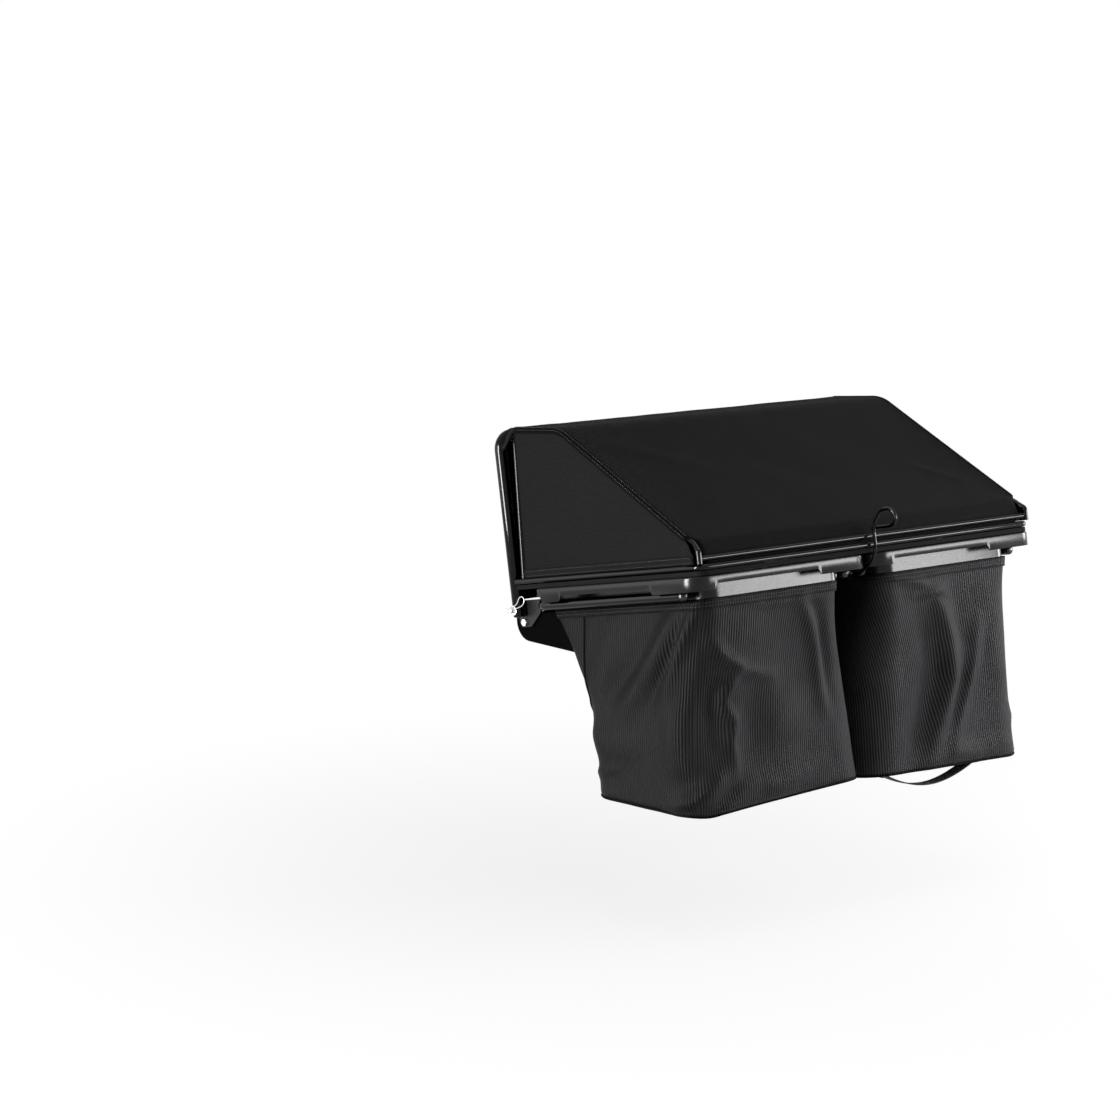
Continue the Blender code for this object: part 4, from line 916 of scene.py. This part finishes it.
# The rim's outer top edge is well rounded and the band's inner one less so. The edges that
# face down are only broken.
outer_round = 0.0032
inner_round = 0.002
skirt_break_in = 0.0004
skirt_break_up = 0.0005
band_break = 0.0006
for side, word in ((-1, "left"), (1, "right")):
    low, high = reach("bag_rim_" + word)
    split, outer = sorted((abs(low.x), abs(high.x)))
    rim_box = (split, outer, low.y, high.y)
    rim_top = high.z
    band_box = (band_inner, band_outer, band_front, band_rear)

    def loop(box, inward, radius):
        inner, outer, front, rear = box
        return rim_plan(
            side, inner + inward, outer - inward, front + inward, rear - inward, radius - inward
        )

    edge = skirt_edge(loop(rim_box, 0, rim_corner))
    broken_edge = [height + skirt_break_up for height in edge]

    def level(height):
        return [height] * len(edge)

    # Each line of the profile is a box, its corner radius, how far in from it, and heights.
    profile = [
        (rim_box, rim_corner, skirt_break_in, edge),
        (rim_box, rim_corner, 0.0, broken_edge),
        (rim_box, rim_corner, 0.0, level(rim_top - outer_round * 2)),
    ]
    for turn in (0, 22.5, 45, 67.5, 90):
        swing = math.radians(turn)
        inward = outer_round * (1 - math.cos(swing))
        height = rim_top - outer_round * (1 - math.sin(swing))
        profile.append((rim_box, rim_corner, inward, level(height)))
    for turn in (90, 60, 30, 0):
        swing = math.radians(turn)
        inward = rim_wall - inner_round * math.sin(swing)
        height = rim_top - inner_round * (1 - math.sin(swing))
        profile.append((band_box, band_corner, inward, level(height)))
    profile += [
        (band_box, band_corner, rim_wall, level(band_bottom + band_break)),
        (band_box, band_corner, rim_wall - band_break, level(band_bottom)),
        (band_box, band_corner, band_break, level(band_bottom)),
        (band_box, band_corner, 0.0, level(band_bottom + band_break)),
        (band_box, band_corner, 0.0, level(rim_top - rim_wall)),
        (rim_box, rim_corner, rim_wall, level(rim_top - rim_wall)),
        (rim_box, rim_corner, rim_wall, broken_edge),
        (rim_box, rim_corner, rim_wall - skirt_break_in, edge),
    ]
    rows_rim = []
    for box, radius, inward, heights in profile + profile[:1]:
        stations = loop(box, inward, radius)
        rows_rim.append([at(side * s[0], s[1], h) for s, h in zip(stations, heights)])
    mesh = quads("rim_" + word, rows_rim, closed=True)
    shape = bmesh.new()
    shape.from_mesh(mesh)
    bmesh.ops.remove_doubles(shape, verts=shape.verts, dist=1e-6)
    bmesh.ops.recalc_face_normals(shape, faces=shape.faces)
    shape.to_mesh(mesh)
    shape.free()
    mesh.set_sharp_from_angle(angle=math.radians(40))
    rim = piece("rim_" + word, mesh, rim_plastic, "frame")
    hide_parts("bag_rim_" + word)

# Bags: each is one wall of ribbed cloth, its ribs hanging plumb, sewn round a floor panel.
# The cloth is stiff, so it stands in broad drapes with a few sharp creases between them.
bag_overhang = 0.008
inner_flare = 0.046
outer_flare = 0.030
front_at_floor = 0.216
rear_at_floor = 0.512
rear_bend = 1.6
drop_front = 0.292
drop_rear = 0.279
knee_share = 0.54
knee_sharp = 6
floor_corner = 0.064
swell_rate = 1.25
swell_power = 1.2
corner_steps = 16
bag_height = 0.37
# The rear corners are rounder halfway down than at the rim and at the floor.
corner_swell = 0.030
# How far the floor's rear edge is pulled up, at its inner and at its outer corner.
rear_lifts = {"left": (0.016, -0.003), "right": (0.011, 0.003)}
# How far up from the floor the wall's foot begins to turn under.
turned_under = {"left": 0.013, "right": 0.004}


def plumb_of(back, up):
    """(back, up) of a place on the tipped frame, measured level and plumb."""
    return (
        back * math.cos(tilt) - up * math.sin(tilt),
        back * math.sin(tilt) + up * math.cos(tilt),
    )


top_front_back, top_front_up = plumb_of(band_front - bag_overhang, band_bottom - 0.0003)
top_rear_back, top_rear_up = plumb_of(band_rear, band_bottom - 0.0003)


def front_lean(share):
    """How far the front has come back, 0 to 1: even down to the knee and plumb below it."""
    return (1 + (max(share, 1e-4) / knee_share) ** -knee_sharp) ** (-1 / knee_sharp)


def rear_lift(side, across, along):
    """How far the floor's rear edge is pulled up from its plane, more at the inner corner."""
    inner, outer = rear_lifts["left" if side < 0 else "right"]
    inwards = min(1, max(0, (band_outer - across) / (band_outer - band_inner)))
    return (outer + (inner - outer) * inwards) * along * along


def bag_outline(share):
    """The bag's plan at one share of its drop, from the middle of the rear outer corner."""
    front = top_front_back + (front_at_floor - top_front_back) * front_lean(share)
    rear = top_rear_back + (rear_at_floor - top_rear_back) * share**rear_bend
    swell = math.sin(math.pi / 2 * min(1, share * swell_rate)) ** swell_power
    at_front = band_corner + (floor_corner - band_corner) * share
    at_rear = at_front + corner_swell * math.sin(math.pi * share) ** 0.8
    inner = band_inner - inner_flare * swell
    outer = band_outer + bag_overhang + outer_flare * swell
    corners = (
        (outer - at_rear, rear - at_rear, 0, at_rear),
        (inner + at_rear, rear - at_rear, 90, at_rear),
        (inner + at_front, front + at_front, 180, at_front),
        (outer - at_front, front + at_front, 270, at_front),
    )
    outline = []
    for across, back, turn, radius in corners:
        for i in range(corner_steps + 1):
            angle = math.radians(turn + 90 * i / corner_steps)
            outline.append((across + radius * math.cos(angle), back + radius * math.sin(angle)))
    half = corner_steps // 2
    outline = np.array(outline[half:] + outline[:half + 1])
    runs = np.hypot(*np.diff(outline, axis=0).T)
    return outline, np.concatenate(([0.0], np.cumsum(runs))), front, rear


def bag_ring(side, share, columns=240):
    """Evenly spaced places round the bag at one share of its drop."""
    outline, travelled, front, rear = bag_outline(share)
    marks = np.linspace(0, travelled[-1], columns, endpoint=False)
    front_up = top_front_up - (top_front_up + drop_front) * share
    rear_up = top_rear_up - (top_rear_up + drop_rear) * share
    ring = []
    for across, back in zip(*(np.interp(marks, travelled, outline[:, k]) for k in (0, 1))):
        along = (back - front) / (rear - front)
        up = front_up + (rear_up - front_up) * along
        up += rear_lift(side, across, along) * share * share
        ring.append(Vector((side * across, hinge.y - back, hinge.z + up)))
    return ring


# Each fold is a line of (metres round from the rear outer corner, share of the drop), its
# width and its height in metres. Round is positive along the rear face to the inner side.
# All the heights are then raised by one factor.
fold_strength = 1.35
left_folds = (
    (((-0.045, 0.03), (-0.090, 0.26), (-0.180, 0.56)), 0.026, 0.0110),
    (((-0.090, 0.06), (-0.150, 0.30), (-0.250, 0.52)), 0.030, -0.0080),
    (((-0.008, 0.02), (-0.030, 0.20), (-0.060, 0.46)), 0.012, 0.0075),
    (((-0.026, 0.04), (-0.052, 0.24), (-0.100, 0.48)), 0.010, -0.0070),
    (((0.010, 0.16), (0.040, 0.27), (0.088, 0.35), (0.150, 0.40)), 0.011, 0.0065),
    (((0.076, 0.36), (0.060, 0.43), (0.048, 0.50)), 0.010, 0.0060),
    (((0.048, 0.50), (0.072, 0.58), (0.066, 0.68), (0.078, 0.84)), 0.012, 0.0080),
    (((0.030, 0.36), (0.030, 0.52), (0.034, 0.74)), 0.024, -0.0110),
    (((-0.030, 0.46), (-0.034, 0.66), (-0.024, 0.84)), 0.026, 0.0070),
    (((0.110, 0.20), (0.120, 0.50), (0.116, 0.80)), 0.034, -0.0050),
    (((-0.060, 0.985), (0.000, 0.93), (0.050, 0.82)), 0.018, 0.0120),
    (((-0.020, 0.995), (0.036, 0.96), (0.090, 0.86)), 0.014, -0.0080),
    (((0.080, 0.88), (0.170, 0.93), (0.270, 0.89)), 0.020, 0.0050),
    (((-0.330, 0.36), (-0.300, 0.43), (-0.250, 0.56)), 0.009, 0.0025),
    (((-0.300, 0.93), (-0.250, 0.86), (-0.180, 0.82)), 0.009, 0.0030),
    (((-0.300, 0.62), (-0.200, 0.70), (-0.110, 0.66)), 0.034, 0.0055),
    (((0.196, 0.05), (0.228, 0.20), (0.254, 0.38), (0.284, 0.64)), 0.013, 0.0065),
    (((0.216, 0.06), (0.250, 0.20), (0.276, 0.38), (0.300, 0.60)), 0.012, -0.0060),
    (((0.060, 0.030), (0.120, 0.060), (0.170, 0.030)), 0.007, 0.0030),
    (((0.140, 0.080), (0.200, 0.050), (0.250, 0.070)), 0.007, 0.0035),
    (((0.090, 0.10), (0.110, 0.30), (0.160, 0.60)), 0.040, 0.0045),
    (((0.200, 0.74), (0.170, 0.50)), 0.050, 0.0040),
    (((0.420, 0.10), (0.480, 0.60)), 0.030, 0.0050),
    (((0.560, 0.20), (0.520, 0.80)), 0.026, -0.0050),
    (((0.760, 0.10), (0.800, 0.60)), 0.030, 0.0060),
    (((0.920, 0.20), (0.870, 0.90)), 0.030, -0.0050),
    (((1.050, 0.15), (1.020, 0.70)), 0.028, 0.0055),
)
right_folds = (
    (((0.250, 0.04), (0.205, 0.07), (0.180, 0.12)), 0.010, 0.0050),
    (((0.230, 0.12), (0.190, 0.13), (0.160, 0.11)), 0.008, 0.0050),
    (((0.195, 0.17), (0.172, 0.15), (0.150, 0.18)), 0.007, -0.0040),
    (((0.172, 0.10), (0.160, 0.34), (0.168, 0.56), (0.196, 0.74), (0.236, 0.96)), 0.018, 0.0100),
    (((0.205, 0.26), (0.206, 0.52), (0.236, 0.72), (0.276, 0.94)), 0.026, -0.0120),
    (((0.128, 0.10), (0.130, 0.30), (0.126, 0.44)), 0.020, -0.0030),
    (((0.084, 0.30), (0.112, 0.50), (0.150, 0.72), (0.180, 0.96)), 0.014, 0.0070),
    (((0.112, 0.44), (0.140, 0.60), (0.172, 0.78)), 0.011, -0.0070),
    (((0.050, 0.10), (0.046, 0.40), (0.060, 0.75)), 0.036, 0.0040),
    (((0.120, 0.97), (0.190, 0.95), (0.250, 0.985)), 0.016, 0.0060),
    (((0.130, 0.030), (0.190, 0.060), (0.250, 0.035)), 0.007, 0.0030),
    (((0.030, 0.92), (0.120, 0.95), (0.220, 0.88)), 0.018, 0.0045),
    (((0.440, 0.10), (0.500, 0.60)), 0.030, 0.0050),
    (((0.600, 0.20), (0.560, 0.80)), 0.026, -0.0050),
    (((0.760, 0.10), (0.800, 0.60)), 0.030, 0.0060),
    (((-0.060, 0.06), (-0.100, 0.30), (-0.200, 0.55)), 0.026, 0.0080),
    (((-0.110, 0.10), (-0.160, 0.34), (-0.240, 0.52)), 0.020, -0.0050),
    (((-0.150, 0.96), (-0.070, 0.86), (0.000, 0.80)), 0.018, 0.0070),
    (((-0.330, 0.90), (-0.260, 0.84), (-0.180, 0.82)), 0.010, 0.0035),
    (((-0.300, 0.60), (-0.200, 0.70), (-0.110, 0.66)), 0.034, 0.0055),
)


def fold_heights(lengths, shares, folds):
    """The outward push of every fold at every place of the wall, as an array."""
    total = lengths[-1]
    round_at = np.array(lengths[:-1])[None, :]
    down_at = np.array(shares)[:, None] * bag_height
    push = np.zeros((len(shares), len(lengths) - 1))
    for spots, width, height in folds:
        strength = height * fold_strength
        best = np.full(push.shape, 9.0)
        fade = np.zeros(push.shape)
        marks = np.linspace(0, 1, len(spots))
        for k, (start, end) in enumerate(zip(spots, spots[1:])):
            a = np.array((start[0], start[1] * bag_height))
            run = np.array((end[0], end[1] * bag_height)) - a
            offset = round_at - a[0]
            offset = (offset + total / 2) % total - total / 2
            share = (offset * run[0] + (down_at - a[1]) * run[1]) / (run @ run)
            share = np.clip(share, 0, 1)
            apart = np.hypot(offset - run[0] * share, down_at - a[1] - run[1] * share)
            nearer = apart < best
            travel = marks[k] + (marks[k + 1] - marks[k]) * share
            fade = np.where(nearer, np.sin(np.pi * (0.05 + 0.9 * travel)) ** 0.7, fade)
            best = np.where(nearer, apart, best)
        push += strength * fade * np.exp(-((best / width) ** 2))
    return push


hem_height = 0.020
levels = 64
bag_thick = 0.0016
broad_wave = 0.0030
fine_wave = 0.0007
hem_thick = 0.0011
thread_lift = 0.0006
floor_rings = 16
floor_sag = 0.010
floor_seam_radius = 0.0022
corner_seam_radius = 0.0018
for side, word, folds in ((-1, "left", left_folds), (1, "right", right_folds)):
    shares = [i / levels for i in range(levels + 1)]
    grid = np.array([[list(spot) for spot in bag_ring(side, share)] for share in shares])
    middle = grid[levels // 2]
    steps = np.linalg.norm(np.roll(middle, -1, axis=0) - middle, axis=1)
    lengths = [0.0] + list(np.cumsum(steps))
    down_tangent = np.gradient(grid, axis=0)
    round_tangent = np.roll(grid, -1, axis=1) - np.roll(grid, 1, axis=1)
    normals = np.cross(round_tangent, down_tangent) * -side
    normals /= np.linalg.norm(normals, axis=2, keepdims=True)
    outward = grid - grid.mean(axis=1, keepdims=True)
    if (normals * outward).sum() < 0:
        normals = -normals
    push = fold_heights(lengths, shares, folds)
    for i, share in enumerate(shares):
        for j in range(grid.shape[1]):
            spot = grid[i, j]
            wave = noise.noise(Vector((spot[0] * 11, spot[1] * 11, spot[2] * 5 + 3 * side)))
            fine = noise.noise(Vector((spot[0] * 40, spot[1] * 40, spot[2] * 14)))
            push[i, j] += (broad_wave * wave + fine_wave * fine) * min(1, 6 * share)

    # The folds are weaker where the wall is sewn, most of all at the rim.
    ends = np.minimum(1, np.array(shares) * 14) * (1 - np.array(shares) ** 10 * 0.5)
    push *= (0.35 + 0.65 * ends)[:, None]

    # The foot turns under in a quarter round, in full only along the rear face.
    edge = turned_under[word]
    tuck = np.clip((np.array(shares) * bag_height - bag_height + edge) / edge, 0, 1)
    quarter_round = edge * (1 - np.sqrt(1 - np.minimum(tuck, 0.985) ** 2))
    from_corner = (np.array(lengths[:-1]) + lengths[-1] / 2) % lengths[-1] - lengths[-1] / 2
    under = 0.15 + 0.85 * np.exp(-(((from_corner - 0.10) / 0.17) ** 4))
    push -= np.outer(quarter_round, under)
    wall_grid = grid + normals * (push - 0.0005)[:, :, None]
    down = [bag_height * share for share in shares]
    mesh = quads("bag_wall_" + word, wall_grid, lengths, down, closed=True)
    wall = piece("bag_wall_" + word, mesh, bag_cloth, "frame")
    faces_out = mesh.polygons[0].normal.dot(Vector(normals[0, 0])) > 0
    thicken(wall, bag_thick, -1 if faces_out else 1)
    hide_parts("bag_" + word)

    # The hem: the cloth's top edge is turned over and sewn down with two rows of thread.
    hem_rows = round(hem_height / bag_height * levels) + 1
    gape = np.linspace(0.0010, 0.0026, hem_rows)[:, None, None]
    hem_grid = wall_grid[:hem_rows] + normals[:hem_rows] * gape
    mesh = quads("bag_hem_" + word, hem_grid, lengths, down[:hem_rows], closed=True)
    hem = piece("bag_hem_" + word, mesh, hem_cloth_in_painted_shade, "frame")
    thicken(hem, hem_thick)
    for number, row in enumerate((1, hem_rows - 2), 1):
        path = [Vector(p) for p in hem_grid[row] + normals[row] * thread_lift]
        facing = [Vector(n) for n in normals[row]]
        name = f"hem_stitching_{word}_{number}"
        mesh = stitches(
            name, path + path[:1],
            lambda share: facing[min(int(share * len(facing)), len(facing) - 1)],
        )
        piece(name, mesh, thread_finish, "frame")

    # The floor panel, which sags between its seams, and the bound seam round it.
    edge_ring = [Vector(spot) for spot in wall_grid[-1]]
    centre = sum(edge_ring, Vector()) / len(edge_ring)
    rings = []
    for k in range(floor_rings + 1):
        share = k / floor_rings * 0.97
        ring = []
        for spot in edge_ring:
            place = spot.lerp(centre, share)
            sag = floor_sag * math.sin(math.pi / 2 * share) ** 0.8
            wave = noise.noise(Vector((place.x * 16, place.y * 16, 7.7)))
            sag += 0.002 * wave * min(1, share * 6)
            ring.append(place - Vector((0, 0, sag)))
        rings.append(ring)
    inwards = [0.2 * k / floor_rings for k in range(floor_rings + 1)]
    mesh = quads("bag_floor_" + word, rings, lengths, inwards, closed=True)
    shape = bmesh.new()
    shape.from_mesh(mesh)
    shape.verts.ensure_lookup_table()
    bmesh.ops.contextual_create(shape, geom=shape.verts[-len(edge_ring):])
    metres = shape.loops.layers.uv.verify()
    for face in shape.faces:
        for corner in face.loops:
            corner[metres].uv = (corner.vert.co.x, corner.vert.co.y)
    shape.to_mesh(mesh)
    shape.free()
    floor_panel = piece("bag_floor_" + word, mesh, bag_cloth, "frame")
    thicken(floor_panel, bag_thick)
    seam = [spot + Vector((0, 0, -0.0004)) for spot in edge_ring]
    mesh = sweep("floor_seam_" + word, seam + seam[:1], floor_seam_radius, 10)
    piece("floor_seam_" + word, mesh, binding, "frame")

    # Bound seams up the two front corners, where the wall's cloth is joined. The outline
    # starts at the middle of its first corner, and the front ones are its third and fourth.
    travelled = bag_outline(0.5)[1]
    for number in (1, 2):
        share = travelled[(corner_steps + 1) * (number + 1)] / travelled[-1]
        column = round(share * grid.shape[1])
        path = [Vector(p) for p in wall_grid[2:, column] + normals[2:, column] * 0.0006]
        name = f"corner_seam_{word}_{number}"
        mesh = sweep(name, path, corner_seam_radius, 10)
        piece(name, mesh, binding, "frame")

# Hand straps: 25 mm polypropylene webbing, its ends sewn flat under each bag. The right one
# hangs in a shallow loop, and the left one lies close along the floor.
strap_wide = 0.025
strap_thick = 0.002
strap_steps = 48
strap_columns = 6
strap_twist = 0.10
sewn_end = 0.014
under_floor = 0.0013
floor_slope = (drop_front - drop_rear) / (rear_at_floor - front_at_floor)
# For each strap: where it starts across the collector, its length, how far back it lies,
# how deep its loop hangs, and how much lower it is set for the sag of the floor panel.
straps = (
    (1, "right", 0.031, 0.235, 0.495, 0.027, 0.000850),
    (-1, "left", -0.303, 0.200, 0.330, 0.004, 0.002125),
)
for side, word, start, strap_length, back, sag, below in straps:
    along = (back - front_at_floor) / (rear_at_floor - front_at_floor)
    rows_strap = []
    travelled = []
    for i in range(strap_steps + 1):
        share = i / strap_steps
        across = start + strap_length * share
        inner = (across - start - sewn_end) / (strap_length - 2 * sewn_end)
        hanging = math.sin(math.pi * min(1, max(0, inner)))
        drop = sag * hanging**0.9
        twist = strap_twist * hanging * side
        up = -drop_front + (back - front_at_floor) * floor_slope
        up += rear_lift(side, abs(across), along)
        row = []
        for k in range(strap_columns + 1):
            offset = strap_wide * (k / strap_columns - 0.5)
            tip = floor_slope * offset + offset * math.sin(twist) * 0.3
            row.append(Vector((
                across,
                hinge.y - back - offset * math.cos(twist),
                hinge.z + up + tip - under_floor - drop - below,
            )))
        rows_strap.append(row)
        travelled.append(strap_length * share)
    widths = [strap_wide * k / strap_columns for k in range(strap_columns + 1)]
    mesh = quads("strap_" + word, rows_strap, widths, travelled)
    strap = piece("strap_" + word, mesh, webbing, "frame")
    thicken(strap, strap_thick)
    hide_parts("bag_strap_" + word)

# Bag rails: 18 mm gloss tube bent round three sides of each bag. The rims rest on them, and
# their open rear ends are closed with domed vinyl caps.
rail_corner = 0.040
# The cap's profile: how far back, and the share of its full radius there.
cap_profile = (
    (0, 0.90), (0.0008, 1.0), (0.003, 1.0), (0.006, 0.93), (0.0085, 0.70), (0.0098, 0.36),
    (0.0102, 0.08),
)
for side, word in ((-1, "left"), (1, "right")):
    low, high = reach("bag_rail_" + word)
    rail_radius = (high.z - low.z) / 2
    inner, outer = sorted((abs(low.x), abs(high.x)))
    inner += rail_radius
    outer -= rail_radius
    rail_up = low.z + rail_radius
    front = low.y + rail_radius
    corners = [
        at(side * outer, high.y, rail_up),
        at(side * outer, front, rail_up),
        at(side * inner, front, rail_up),
        at(side * inner, high.y, rail_up),
    ]
    path = rounded_path(corners, [rail_corner] * 2, 14)
    mesh = sweep("carrying_rail_" + word, path, rail_radius, 24)
    rail = piece("carrying_rail_" + word, mesh, gloss_coat, "frame")
    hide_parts("bag_rail_" + word)
for number in range(1, 5):
    name = f"rail_end_cap_{number}"
    low, high = reach(name)
    centre = (low.x + high.x) / 2
    radius = (high.x - low.x) / 2
    rows_cap = []
    for back, share in cap_profile:
        ring = []
        for k in range(24):
            turn = 2 * math.pi * k / 24
            ring.append(at(
                centre + radius * share * math.cos(turn),
                low.y + back,
                rail_up + radius * share * math.sin(turn),
            ))
        rows_cap.append(ring)
    mesh = quads(name, rows_cap, closed=True, caps=True)
    cap = piece(f"vinyl_cap_{number}", mesh, cap_vinyl, "frame")
    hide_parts(name)

# Latch: one length of 6 mm gloss wire. Its eye turns on a bolt between the inner rails, and
# it rises over the rims to a finger loop whose end hooks behind the hood's rear rail.
wire = 0.003
bolt_radius = 0.004
latch_joint = Vector(frame["joints"][1]["pos_m"])
eye = bolt_radius + 0.0003 + wire
beside = 2 * wire + 0.0006
hook_nose = 0.0710
# Places that the wire runs through, as (across, back, up) from the bolt.
wire_places = (
    (0, 0.012, -0.0078),
    (0, 0.030, -0.004),
    (0, 0.057, 0.009),
    (0, 0.072, 0.021),
    (0, 0.0800, 0.042),
    (0, 0.0800, 0.064),
    (0, 0.084, 0.080),
    (0, 0.094, 0.093),
    (0.0005, 0.105, 0.102),
    (0.0015, 0.119, 0.104),
    (0.003, 0.131, 0.096),
    (0.0045, 0.132, 0.083),
    (0.0055, 0.122, 0.0755),
    (beside, 0.104, 0.0735),
    (beside, 0.088, 0.0735),
    (beside, hook_nose, 0.0725),
)
home = tipped.inverted() @ latch_joint
eye_turns = [math.radians(a) for a in range(-264, -40, 9)]
lower = [at(home.x, -home.y + eye * math.cos(a), home.z + eye * math.sin(a)) for a in eye_turns]
upper = [at(home.x + x, -home.y + b, home.z + u) for x, b, u in wire_places]
path = lower[:-1] + smooth_path([lower[-1], *upper], 8)
mesh = sweep("latch_wire", path, wire, 16, wire * 0.8)
latch_wire = piece("latch_wire", mesh, gloss_coat, "latch")
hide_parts("latch_rod")

# What stays as CAD gave it: plates, box sections, bolts and the hidden front. Their solids
# are right as they are, and a fine bevel catches the light along their edges.
kept_finishes = {
    "hitch_plate": satin_coat, "hitch_post": satin_coat, "frame_crossbar": satin_coat,
    "post_gusset_left": satin_coat, "post_gusset_right": satin_coat,
    "hinge_bracket_left": satin_coat, "hinge_bracket_right": satin_coat,
    "hinge_pin_left": bright_zinc, "hinge_pin_right": bright_zinc,
    "hinge_washer_left": bright_zinc, "hinge_washer_right": bright_zinc,
    "hinge_clip_left": bright_zinc, "hinge_clip_right": bright_zinc,
    "apron_bolt_left": bright_zinc, "apron_bolt_right": bright_zinc,
    "latch_pivot_bolt": bright_zinc,
    "latch_spacer_left": cap_vinyl, "latch_spacer_right": cap_vinyl,
    "front_apron": apron_plastic, "hood_front_panel": apron_plastic,
    "chute_inlet_collar": apron_plastic, "hood_seal": seal_rubber,
}
for number in range(1, 7):
    kept_finishes[f"collar_screw_{number}"] = bright_zinc
for node, finish in kept_finishes.items():
    part = frame["nodes"][node]
    part.data.materials.clear()
    part.data.materials.append(finish)
    weld = part.modifiers.new("weld", "WELD")
    weld.merge_threshold = 1e-6
    bevel = part.modifiers.new("edge", "BEVEL")
    bevel.width = 0.0004
    bevel.segments = 2
    bevel.limit_method = "ANGLE"
    bevel.angle_limit = math.radians(35)

# Studio: a white floor and backdrop. Two strong softboxes to the right rear rake over the
# cloth, weak ones stand above and at the front left, and a strip on the left is only mirrored.
def background_rays(tree):
    """1 for the rays that see the white background: camera, mirror and glass rays."""
    ray = add(tree, "LightPath")
    mirrored = add(
        tree, "Math", {"operation": "MAXIMUM"},
        links={0: ray.outputs["Is Camera Ray"], 1: ray.outputs["Is Glossy Ray"]},
    )
    return add(
        tree, "Math", {"operation": "MAXIMUM"},
        links={0: mirrored.outputs[0], 1: ray.outputs["Is Transmission Ray"]},
    )


hinge_over_ground = 0.505
ground = hinge.z - hinge_over_ground
mesh = bpy.data.meshes.new("studio_floor")
reach_out = 40.0
mesh.from_pydata(
    [(-reach_out, -reach_out, ground), (reach_out, -reach_out, ground),
     (reach_out, reach_out, ground), (-reach_out, reach_out, ground)],
    [], [(0, 1, 2, 3)],
)
floor = bpy.data.objects.new("studio_floor", mesh)
bpy.context.scene.collection.objects.link(floor)
white_floor, tree, shader = new_finish("matt_white_floor", "#ffffff", Roughness=1.0)
shader.inputs["Specular IOR Level"].default_value = 0.0
lit = add(tree, "Emission", values={"Color": (1, 1, 1, 1), "Strength": 1.0})
place = add(tree, "TexCoord").outputs["Object"]
far = add(tree, "VectorMath", {"operation": "LENGTH"}, links={0: place})
fade = add(
    tree, "MapRange", {"interpolation_type": "SMOOTHSTEP"},
    {"From Min": 0.4, "From Max": 1.5, "To Min": 0.80, "To Max": 1.0},
    {"Value": far.outputs["Value"]},
)
seen = background_rays(tree)
share = add(
    tree, "Math", {"operation": "MULTIPLY"},
    links={0: fade.outputs[0], 1: seen.outputs[0]},
)
mixed = add(
    tree, "MixShader",
    links={0: share.outputs[0], 1: shader.outputs[0], 2: lit.outputs[0]},
)
tree.links.new(mixed.outputs[0], tree.nodes["Material Output"].inputs["Surface"])
mesh.materials.append(white_floor)

world = bpy.data.worlds.new("studio_air")
bpy.context.scene.world = world
world.use_nodes = True
tree = world.node_tree
ground_light = tree.nodes["Background"]
ground_light.inputs["Color"].default_value = (1, 1, 1, 1)
ground_light.inputs["Strength"].default_value = 0.16
backdrop = add(tree, "Background", values={"Color": (1, 1, 1, 1), "Strength": 1.0})
mixed = add(
    tree, "MixShader",
    links={0: background_rays(tree).outputs[0], 1: ground_light.outputs[0], 2: backdrop.outputs[0]},
)
tree.links.new(mixed.outputs[0], tree.nodes["World Output"].inputs["Surface"])


def softbox(name, toward, distance, width, height, radiance, mirrored_only=False):
    """A soft lamp that faces the collector; one that is only mirrored lights no cloth."""
    lamp = bpy.data.lights.new(name, "AREA")
    lamp.shape = "RECTANGLE"
    lamp.size = width
    lamp.size_y = height
    lamp.energy = radiance * math.pi * width * height
    box = bpy.data.objects.new(name, lamp)
    bpy.context.scene.collection.objects.link(box)
    heart = Vector((0, -0.25, 0.15))  # the middle of the collector
    toward = Vector(toward).normalized()
    box.location = heart + toward * distance
    box.visible_diffuse = not mirrored_only
    box.rotation_mode = "QUATERNION"
    box.rotation_quaternion = toward.to_track_quat("Z", "Y")
    return box


softbox("key_softbox", (0.61, -0.78, 0.13), 2.6, 1.0, 0.55, 29.0)
softbox("raking_softbox", (0.94, -0.33, 0.14), 2.6, 0.8, 0.9, 22.0)
softbox("top_softbox", (0.0, -0.15, 1.0), 2.2, 2.0, 1.4, 1.6)
softbox("front_left_softbox", (-0.76, 0.65, 0.10), 2.4, 1.2, 1.3, 1.6)
softbox("left_strip", (-0.98, 0.08, -0.04), 2.4, 0.7, 2.8, 60.0, mirrored_only=True)

# Camera: a long lens from behind and to the left, a little above, as in the photograph.
lens = bpy.data.cameras.new("camera")
lens.sensor_width = 36.0
lens.lens = 103.92
camera = bpy.data.objects.new("camera", lens)
bpy.context.scene.collection.objects.link(camera)
camera.location = (-3.8263, -4.48069, 1.1802)
camera.rotation_mode = "QUATERNION"
camera.rotation_quaternion = Vector((0.61064, 0.77459, -0.16470)).to_track_quat("-Z", "Y")
bpy.context.scene.camera = camera
bpy.context.scene.view_settings.view_transform = "Standard"
